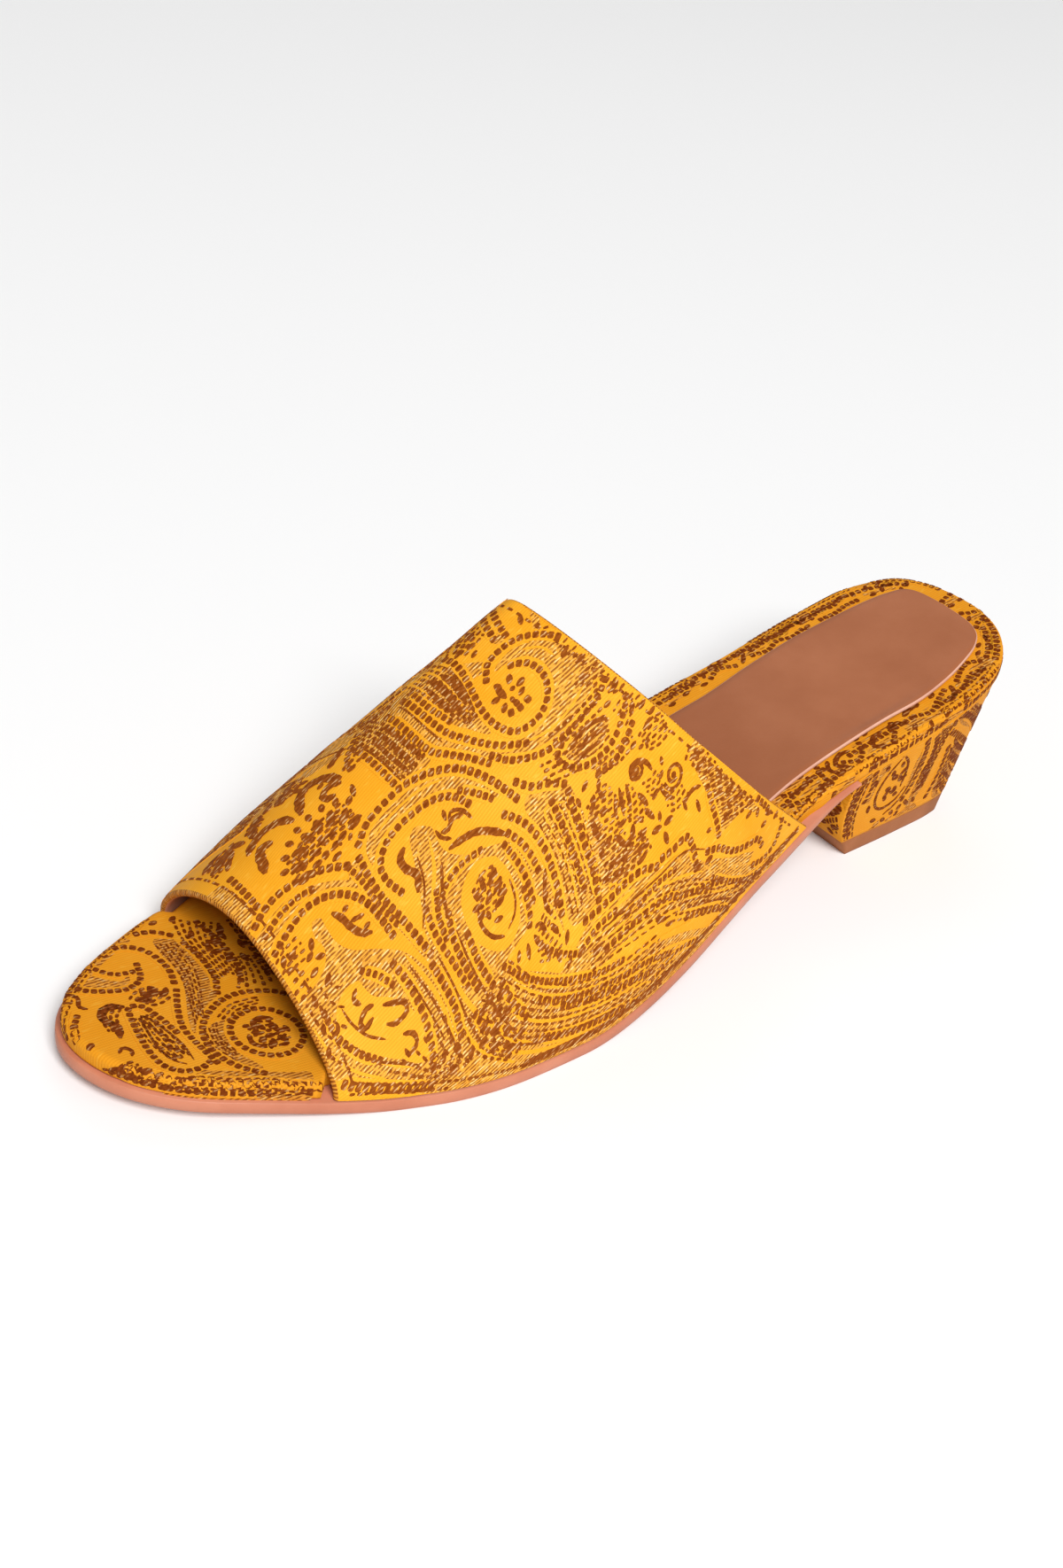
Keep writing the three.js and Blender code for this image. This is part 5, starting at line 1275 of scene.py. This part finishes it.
class Weaving:
    """Patches in cloth millimetres, each with points, faces, a rim that goes down into the cloth, a lift, and
    soft, for what bends with the surface."""

    def __init__(self):
        self.patches = []
        self.random = np.random.default_rng(7)

    def add(self, points, faces, rim_loop, lift, soft=False):
        self.patches.append((np.asarray(points, float), faces, list(rim_loop), lift, soft))

    def oval(self, place, length, width, degrees, square=0.0, count=10):
        """An oval of yarn; square above 0 fills its corners, below 0 points its ends."""
        t = np.arange(count) * 2 * math.pi / count + math.pi / count
        power = 1 - square
        shape = np.stack([np.sign(np.cos(t)) * abs(np.cos(t)) ** power * length / 2,
                          np.sign(np.sin(t)) * abs(np.sin(t)) ** power * width / 2], -1)
        self.add(turned_by(shape, degrees) + place, [tuple(range(count))], range(count), YARN_LIFT)

    def dots(self, pitch, points):
        """A row of dots on a ribbon of plain ground."""
        self.ribbon(pitch * DOT_RIBBON, points)
        line = curve_through(points, pitch)
        run, _ = headings(line)
        for place, heading in zip(line, run):
            slant = math.degrees(math.atan2(heading[1], heading[0])) + self.random.uniform(-8, 8)
            size = pitch * (DOT_LENGTH + self.random.uniform(-.06, .06))
            self.oval(place, size, pitch * DOT_WIDTH, slant, square=.45, count=8)

    def ribbon(self, width, points):
        """A strip of plain ground through a field, with a middle row so that it follows the surface."""
        line = curve_through(points, 1.0)
        _, off = headings(line)
        n = len(line)
        share = np.linspace(0, 1, n)
        half = (width / 2 * np.minimum(1, 6 * np.minimum(share, 1 - share) + .3))[:, None] * off
        faces = [(i + a, i + 1 + a, i + 1 + a + n, i + a + n) for a in (0, n) for i in range(n - 1)]
        loop = [*range(n - 1, -1, -1), n, *range(2 * n, 3 * n), 2 * n - 1]
        self.add(np.vstack([line + half, line, line - half]), faces, loop, ISLAND_LIFT, soft=True)

    def fan(self, x, y, radius, length, width, first, last, count):
        for degrees in np.linspace(first, last, count):
            a = math.radians(degrees)
            self.petal(x + radius * math.cos(a), y + radius * math.sin(a), length, width, degrees)

    def petal(self, x, y, length, width, degrees):
        self.oval(np.array([x, y]), length, width, degrees, square=-.15)

    def stroke(self, width, points, taper=True):
        """A line of yarn with a ragged edge."""
        line = curve_through(points, .8)
        _, off = headings(line)
        share = np.linspace(0, 1, len(line))
        ease = np.minimum(1, 5 * np.minimum(share, 1 - share) + .35) if taper else np.ones(len(line))
        ragged = 1 + .12 * np.sin(np.arange(len(line)) * 2.4)
        half = (width / 2 * ease * ragged)[:, None] * off
        n = len(line)
        faces = [(i, i + 1, n + i + 1, n + i) for i in range(n - 1)]
        loop = [*range(n - 1, -1, -1), *range(n, 2 * n)]
        self.add(np.vstack([line + half, line - half]), faces, loop, YARN_LIFT)

    def hatch(self, first, last, rows, pitch, width):
        """Rows of dashes between two charted lines, every other row moved by half a dash."""
        share = np.linspace(0, 1, 40)
        a, b = (resampled(curve_through(line, .5), share) for line in (first, last))
        for row, t in enumerate(np.linspace(0, 1, rows)):
            line = mix(a, b, t)
            run = length_along(line, 0)
            for start in np.arange(-.5 * pitch * (row % 2), run[-1] - .4 * pitch, pitch):
                ends = np.clip([start + DASH_START * pitch, start + DASH_END * pitch], 0, run[-1])
                p, q = (np.array([np.interp(e, run, line[:, k]) for k in (0, 1)]) for e in ends)
                long = float(np.linalg.norm(q - p))
                if long > SHORTEST_DASH:
                    slant = math.degrees(math.atan2(*(q - p)[::-1])) + self.random.uniform(-6, 6)
                    wide = width * self.random.uniform(.8, 1.2)
                    self.oval((p + q) / 2, long, wide, slant, square=.3, count=6)

    def spiral(self, x, y, radius):
        """A curl of yarn round a dot."""
        t = np.linspace(0, 1, 14)
        a = 2 * math.pi * SPIRAL_TURNS * t
        ring = radius * (.34 + .66 * (1 - t))
        self.stroke(.75, np.stack([x + ring * np.cos(a), y + ring * np.sin(a)], -1), taper=False)
        self.oval(np.array([x, y]), 1.3, 1.3, 0)

    def field(self, outline, lift):
        """A patch inside an outline, with inner points so that it follows the surface."""
        closed = curve_through([*outline, outline[0]], 1.0)[:-1]
        n = len(closed)
        columns, rows = (np.arange(low, high, 1.2) for low, high in zip(closed.min(0), closed.max(0)))
        grid = np.stack(np.meshgrid(columns, rows), -1).reshape(-1, 2)
        grid = grid[inside_outline(grid, closed, .5)]
        points = [Vector(p) for p in np.vstack([closed, grid])]
        edges = [(i, (i + 1) % n) for i in range(n)]
        made, _, faces, origin, *_ = delaunay_2d_cdt(points, edges, [], 1, 1e-4)
        where = {o: i for i, sources in enumerate(origin) for o in sources if o < n}
        loop = [where[i] for i in range(n)]
        self.add(np.array([tuple(p) for p in made]), [tuple(f) for f in faces], loop, lift, soft=True)

    def chart(self, cloth):
        """Everything of a charted cloth; the order of the kinds keeps the random draws as they are."""
        for lift, kind in ((FIELD_LIFT, "fields"), (ISLAND_LIFT, "islands")):
            for outline in cloth[kind]:
                self.field(outline, lift)
        makers = dict(veins=self.ribbon, dots=self.dots, fans=self.fan, hatches=self.hatch,
                      strokes=self.stroke, petals=self.petal, spirals=self.spiral)
        for kind, make in makers.items():
            for row in cloth[kind]:
                make(*row)

    def copies(self, move, keep):
        """Adds each patch again where `move` puts it, if `keep` takes its middle."""
        for points, faces, rim_loop, lift, soft in list(self.patches):
            moved = move(points)
            if keep(*moved.mean(0)):
                self.patches.append((moved, faces, rim_loop, lift, soft))

    def on_cloth(self, lift, holds, squeeze):
        """The patches of one lift that lie on the piece."""
        for points, faces, rim_loop, own, soft in self.patches:
            if own == lift and soft and holds(points).mean() >= LEAST_SHARE:
                yield squeeze(points), faces, rim_loop
            elif own == lift and not soft and holds(points).all():
                yield points, faces, rim_loop

    def meshes(self, name, cloths, place, holds, squeeze, slot):
        """One mesh a lift: `place` puts (points, lift) on the surface, `holds` says what lies on it."""
        labels = ("field", "island", "yarn")
        for lift, material, label in zip((FIELD_LIFT, ISLAND_LIFT, YARN_LIFT), cloths, labels):
            cloth, lifts, faces, base = [], [], [], 0
            for points, patch_faces, rim_loop in self.on_cloth(lift, holds, squeeze):
                n, m = len(points), len(rim_loop)
                cloth += [points, points[rim_loop]]
                lifts += [np.full(n, lift), np.full(m, ROOT)]
                faces += [tuple(base + c for c in f) for f in patch_faces]
                for i, c in enumerate(rim_loop):
                    j = (i + 1) % m
                    faces.append((base + c, base + n + i, base + n + j, base + rim_loop[j]))
                base += n + m
            cloth = np.vstack(cloth)
            placed = place(cloth, np.concatenate(lifts))
            faces, _ = clean(placed, faces)
            piece = mesh_object(f"{name}_{label}", placed, faces, [material], None, cloth)
            piece.data.shade_flat()
            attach(piece, "root")


def inside_outline(points, outline, margin):
    """True where a point is inside an outline and clear of its line."""
    a, b = outline, np.roll(outline, -1, 0)
    x, y = points[:, 0][:, None], points[:, 1][:, None]
    cross = (a[:, 1] > y) != (b[:, 1] > y)
    tall = np.where(b[:, 1] == a[:, 1], 1e-9, b[:, 1] - a[:, 1])
    at = a[:, 0] + (y - a[:, 1]) / tall * (b[:, 0] - a[:, 0])
    odd = (cross & (x < at)).sum(1) % 2 == 1
    near = np.min((x - a[:, 0]) ** 2 + (y - a[:, 1]) ** 2, 1) < margin ** 2
    return odd & ~near


# The band as a cloth: x along the shoe, y over the ridge

BAND_AT = np.linspace(.3, .88, 233)
BAND_V = np.linspace(0, 1, 401)
BAND_Y = np.linspace(-74, 108, 365)
RIDGE = len(BAND_V) // 2
EDGE_CLEAR = .6 / LENGTH  # how far the weave stays from the band's edges


def band_unrolled():
    """The band's v for each row of BAND_AT and each column of BAND_Y."""
    arc = length_along(band(BAND_AT[:, None], BAND_V[None]), 1)
    arc -= arc[:, RIDGE][:, None]
    return np.array([np.interp(BAND_Y, row, BAND_V) for row in arc])


BAND_TABLE = band_unrolled()


def lookup(grid, i, j):
    """Bilinear values of a grid at fractional indices."""
    i, j = np.clip(i, 0, grid.shape[0] - 1.001), np.clip(j, 0, grid.shape[1] - 1.001)
    a, b = i.astype(int), j.astype(int)
    s, t = i - a, j - b
    if grid.ndim == 3:
        s, t = s[:, None], t[:, None]
    return mix(mix(grid[a, b], grid[a, b + 1], t), mix(grid[a + 1, b], grid[a + 1, b + 1], t), s)


def band_share(points):
    at = points[:, 0] / LENGTH
    i = (at - BAND_AT[0]) / (BAND_AT[1] - BAND_AT[0])
    j = (points[:, 1] - BAND_Y[0]) / (BAND_Y[1] - BAND_Y[0])
    return at, lookup(BAND_TABLE, i, j)


def on_band(points, lifts):
    at, v = band_share(points)
    return band(at, v) + band_out(at, v) * (undulation(at, v) + lifts)[:, None]


def band_holds(points):
    at, v = band_share(points)
    inside = (at > crossing(BACK_EDGE, v) + EDGE_CLEAR) & (at < crossing(TOE_EDGE, v) - EDGE_CLEAR)
    return inside & (v > .004) & (v < .996)


def band_squeeze(points):
    """Moves what runs over the band's edges back onto it."""
    at, v = band_share(points)
    at = np.clip(at, crossing(BACK_EDGE, v) + EDGE_CLEAR, crossing(TOE_EDGE, v) - EDGE_CLEAR)
    return np.column_stack([at * LENGTH, points[:, 1]])


def cloth_at(at, v):
    """Cloth millimetres of a place on the band."""
    arc = length_along(band(at, BAND_V), 0)
    return at * LENGTH, np.interp(v, BAND_V, arc - arc[RIDGE])


def edge_stitches(weaving, edge, away, pitch, length):
    """Dashes at `away` millimetres (towards the toe) from one of the band's edges."""
    shares = np.linspace(*STITCHED, 90)
    line = np.array([cloth_at(float(crossing(edge, v)) + away / LENGTH, v) for v in shares])
    run = length_along(line, 0)
    for start in np.arange(0, run[-1] - length, pitch):
        dash = [[np.interp(start + length * k, run, line[:, c]) for c in (0, 1)] for k in (0, .5, 1)]
        weaving.stroke(.5, dash, taper=False)


def foot_shadow_strokes(weaving):
    """Short wide strokes along the band's lower edge on the outer side, three steps of the line each."""
    # These stand for the shadow in the gap over the sole: painted shadow, laid as dark yarn.
    foot = np.array([cloth_at(at, FOOT_V) for at in np.linspace(*FOOT_REACH, 60)])
    for k in range(0, 57, 3):
        weaving.stroke(1.5, foot[k:k + 4], taper=False)


STITCHED = (.03, .97)  # the part of each edge that has stitches, across the band
FOOT_V, FOOT_REACH = 0.986, (.36, .845)  # the strokes' place across, and their first and last share along
REPEAT = 74.0  # the weave comes round again after this many millimetres across
REPEAT_BACK = 40.0  # and the second copy is moved towards the heel by this
# Where the second copy ends towards the toe
COPY_EDGE = table("y x", [(-70, 137), (-54, 134), (-40, 130), (-26, 122), (-14, 113)])


def on_first_copy(x, y):
    return y < (-7 if x < 173 else -18)


def on_second_copy(x, y):
    return y < -9 and x < np.interp(y, COPY_EDGE["y"], COPY_EDGE["x"])


def weave_band():
    """The charted side, copies for the hidden inner side, and the rows along the edges."""
    weaving = Weaving()
    weaving.chart(BAND_CLOTH)
    weaving.copies(lambda p: p - [0, REPEAT], on_first_copy)
    weaving.copies(lambda p: p - [REPEAT_BACK, REPEAT], on_second_copy)
    edge_stitches(weaving, TOE_EDGE, away=-3.6, pitch=3.2, length=2.1)
    edge_stitches(weaving, BACK_EDGE, away=2.4, pitch=2.6, length=1.3)
    # Painted shadow: a dark line of yarn along the band's foot.
    foot_shadow_strokes(weaving)
    weaving.meshes("band", (MIXED, GROUND, YARN), on_band, band_holds, band_squeeze, "brocade")


weave_band()


# The footbed as a cloth: x along the shoe, y to the outer side, rounded over its edge

def footbed_rim():
    """Rows of a rim point, the way inwards from it, and the footbed's own inset there."""
    turn = np.linspace(0, math.pi, 500)
    rows = []
    for side in (-1, 1):
        p, q = rim(turn, side), rim(turn, side, 1.0)
        at = (1 - np.cos(turn)) / 2
        wall = LEDGE + WALL + GAP + lean(at, side)
        rows.append(np.column_stack([p, q - p, mix(MARGIN, wall, beside(at, side))]))
    return np.vstack(rows)


FOOTBED_RIM = footbed_rim()


def nearest_rim(points):
    """Each point's place in plan, its nearest rim row, and how far it lies inside the footbed's edge."""
    plan = np.column_stack([LENGTH / 2 - points[:, 0], -points[:, 1]])
    best = np.concatenate([np.argmin(((part[:, None] - FOOTBED_RIM[None, :, :2]) ** 2).sum(-1), 1)
                           for part in np.array_split(plan, max(len(plan) // 2000, 1))])
    rows = FOOTBED_RIM[best]
    inset = ((plan - rows[:, :2]) * rows[:, 2:4]).sum(1) - rows[:, 4]
    return plan, rows, inset


def on_footbed(points, lifts):
    plan, rows, inset = nearest_rim(points)
    bend = np.pi / 2 * np.clip(inset / ROUND, 0, 1)
    away = rows[:, 4] + ROUND * (1 - np.cos(bend))
    rounded = rows[:, :2] + rows[:, 2:4] * (away - lifts * np.cos(bend))[:, None]
    flat = (inset >= ROUND)[:, None]
    place = np.where(flat, plan, rounded)
    top = OUTSOLE + GAP + FOOTBED
    height = top - ROUND * (1 - np.sin(bend)) + lifts * np.sin(bend) + np.minimum(inset, 0)
    return np.column_stack([place, underside(place[:, 0]) + height])


CLOTH_DEPTH = 1.7  # how far the footbed's weave runs down below its rounded edge
RIM_PITCH = 1.65


def along_rim(side, first, last, inset):
    """Nine points along the rim, in the footbed's cloth millimetres."""
    p = rim(turn_of(np.linspace(first, last, 9)), side, inset)
    return list(np.column_stack([LENGTH / 2 - p[:, 0], -p[:, 1]]))


def footbed_holds(points):
    return nearest_rim(points)[2] > -CLOTH_DEPTH


def weave_footbed():
    weaving = Weaving()
    for side, first, last, low, high in RIM_FIELDS:
        line = along_rim(side, first, last, low)
        weaving.field([*line, *along_rim(side, first, last, high)[::-1]], FIELD_LIFT)
    weaving.chart(FOOTBED_CLOTH)
    for side, first, last, inset in RIM_DOTS:
        weaving.dots(RIM_PITCH, along_rim(side, first, last, inset))
    # The footbed's weave uses the darker copies of the cloths: painted shade.
    weaving.meshes("footbed", SHADED_CLOTHS, on_footbed, footbed_holds, lambda p: p, "footbed_brocade")


weave_footbed()


# The heel as a cloth: x round from the outer breast corner at mid height, y down from the seat

HEEL_SHARES = np.linspace(1, 0, 60)


def heel_surface():
    """The heel's faces as a grid, its outward normals, the length round it, and each column's height."""
    rings = heel_rows([(TIP, s) for s in HEEL_SHARES])
    grid = np.concatenate([rings, breast_rows(rings, 30)], 1)
    out = unit(np.cross(np.gradient(grid, axis=0), np.gradient(grid, axis=1)))
    flip = np.where(((grid - grid.mean((0, 1))) * out).sum(-1) < 0, -1, 1)
    around = length_along(grid[len(HEEL_SHARES) // 2], 0)
    return grid, out * flip[..., None], around, np.linalg.norm(grid[0] - grid[-1], axis=-1)


HEEL_GRID, HEEL_OUT, HEEL_AROUND, HEEL_TALL = heel_surface()
INNER_CORNER = HEEL_AROUND[2 * HEEL_LINES]
CHARTED = 70  # millimetres round from the outer corner; the rest is copied
BREAST_START = 20  # the breast's copy begins this many millimetres into the chart
CORNER_CLEAR = 0.5


def heel_share(points):
    j = np.interp(points[:, 0], HEEL_AROUND, np.arange(len(HEEL_AROUND)))
    return points[:, 1] / np.interp(j, np.arange(len(HEEL_TALL)), HEEL_TALL), j


def on_heel(points, lifts):
    share, j = heel_share(points)
    i = share * (len(HEEL_SHARES) - 1)
    return lookup(HEEL_GRID, i, j) + lookup(HEEL_OUT, i, j) * lifts[:, None]


def heel_holds(points):
    share, _ = heel_share(points)
    corners = np.array([HEEL_AROUND[0], INNER_CORNER, HEEL_AROUND[-1]])
    clear = (abs(points[:, :1] - corners) > CORNER_CLEAR).all(1)
    return (share > .015) & (share < .985) & clear


def heel_squeeze(points):
    """Moves what runs over the seat or the top piece back onto the heel."""
    _, j = heel_share(points)
    tall = np.interp(j, np.arange(len(HEEL_TALL)), HEEL_TALL)
    return np.column_stack([points[:, 0], np.clip(points[:, 1], .02 * tall, .98 * tall)])


def on_breast(x, y):
    return INNER_CORNER + 1 < x < HEEL_AROUND[-1] - 1


def weave_heel():
    """The charted outer side, mirrored onto the inner side, and copied onto the breast."""
    weaving = Weaving()
    weaving.chart(HEEL_CLOTH)
    weaving.copies(lambda p: np.column_stack([INNER_CORNER - p[:, 0], p[:, 1]]), lambda x, y: x > CHARTED)
    weaving.copies(lambda p: p + [INNER_CORNER - BREAST_START, 0], on_breast)
    # The heel's weave uses the darker copies of the cloths: painted shade.
    weaving.meshes("heel", SHADED_CLOTHS, on_heel, heel_holds, heel_squeeze, "heel_brocade")


weave_heel()


# Floor, light and camera

FLOOR_HALF = 3.0
LIGHTS = [  # name, place in metres, side in metres, watts
    ("key", (-1.2, -2.4, 3.0), 1.8, 186),
    ("fill", (1.5, -1.5, 3.6), 2.4, 9),
    ("back", (2.1, 2.7, 2.7), 2.4, 20)]
LIGHTS_AIM = (0, 0, .02)
WORLD_LIGHT = 0.19

# The camera, fitted to the photograph: angles in degrees, lens and sensor in millimetres, distance in metres.
# The aim is in millimetres on the axis of the last.
AZIMUTH, ELEVATION, CAMERA_ROLL = -46.0184, 33.5378, 9.6628
LENS, SENSOR, DISTANCE = 51.95, 36, 0.495888
AIM = (-2.6923, 14.834, 20.06)


def soft_light(name, place, side, power):
    data = bpy.data.lights.new(name, "AREA")
    data.shape = "RECTANGLE"
    data.size = side
    data.size_y = side
    data.energy = power
    lamp = bpy.data.objects.new(name, data)
    bpy.context.scene.collection.objects.link(lamp)
    lamp.location = place
    lamp.rotation_mode = "QUATERNION"
    lamp.rotation_quaternion = (Vector(place) - Vector(LIGHTS_AIM)).to_track_quat("Z", "Y")


def make_floor():
    mesh = bpy.data.meshes.new("floor")
    r = FLOOR_HALF
    mesh.from_pydata([(-r, -r, 0), (r, -r, 0), (r, r, 0), (-r, r, 0)], [], [(0, 1, 2, 3)])
    s = Shader("pale_floor")
    place = s.node("ShaderNodeTexCoord").outputs["Object"]
    base = s.blend(s.noise(place, 2, 1), (.92, .92, .92, 1), (.93, .93, .93, 1))
    mesh.materials.append(s.finish(Base_Color=base, Roughness=.9, Specular_IOR_Level=.1))
    made = bpy.data.objects.new("floor", mesh)
    bpy.context.scene.collection.objects.link(made)


def make_world():
    world = bpy.data.worlds.new("studio")
    world.use_nodes = True
    background = world.node_tree.nodes["Background"]
    background.inputs[0].default_value = (1, 1, 1, 1)
    background.inputs[1].default_value = WORLD_LIGHT
    bpy.context.scene.world = world
    bpy.context.scene.view_settings.view_transform = "Standard"


def make_camera():
    camera = bpy.data.objects.new("camera", bpy.data.cameras.new("camera"))
    bpy.context.scene.collection.objects.link(camera)
    bpy.context.scene.camera = camera
    camera.data.lens = LENS
    camera.data.sensor_width = SENSOR
    camera.data.clip_start = .01
    camera.data.clip_end = 20
    azimuth, elevation, roll = (math.radians(a) for a in (AZIMUTH, ELEVATION, CAMERA_ROLL))
    level = math.cos(elevation)
    back = Vector((math.sin(azimuth) * level, -math.cos(azimuth) * level, math.sin(elevation)))
    right = Vector((math.cos(azimuth), math.sin(azimuth), 0))
    rolled = math.cos(roll) * right + math.sin(roll) * back.cross(right)
    camera.location = (Vector(AIM) + Vector(SHIFT)) / 1000 + back * DISTANCE
    camera.rotation_mode = "QUATERNION"
    camera.rotation_quaternion = Matrix((rolled, back.cross(rolled), back)).transposed().to_quaternion()


make_floor()
for light in LIGHTS:
    soft_light(*light)
make_world()
make_camera()
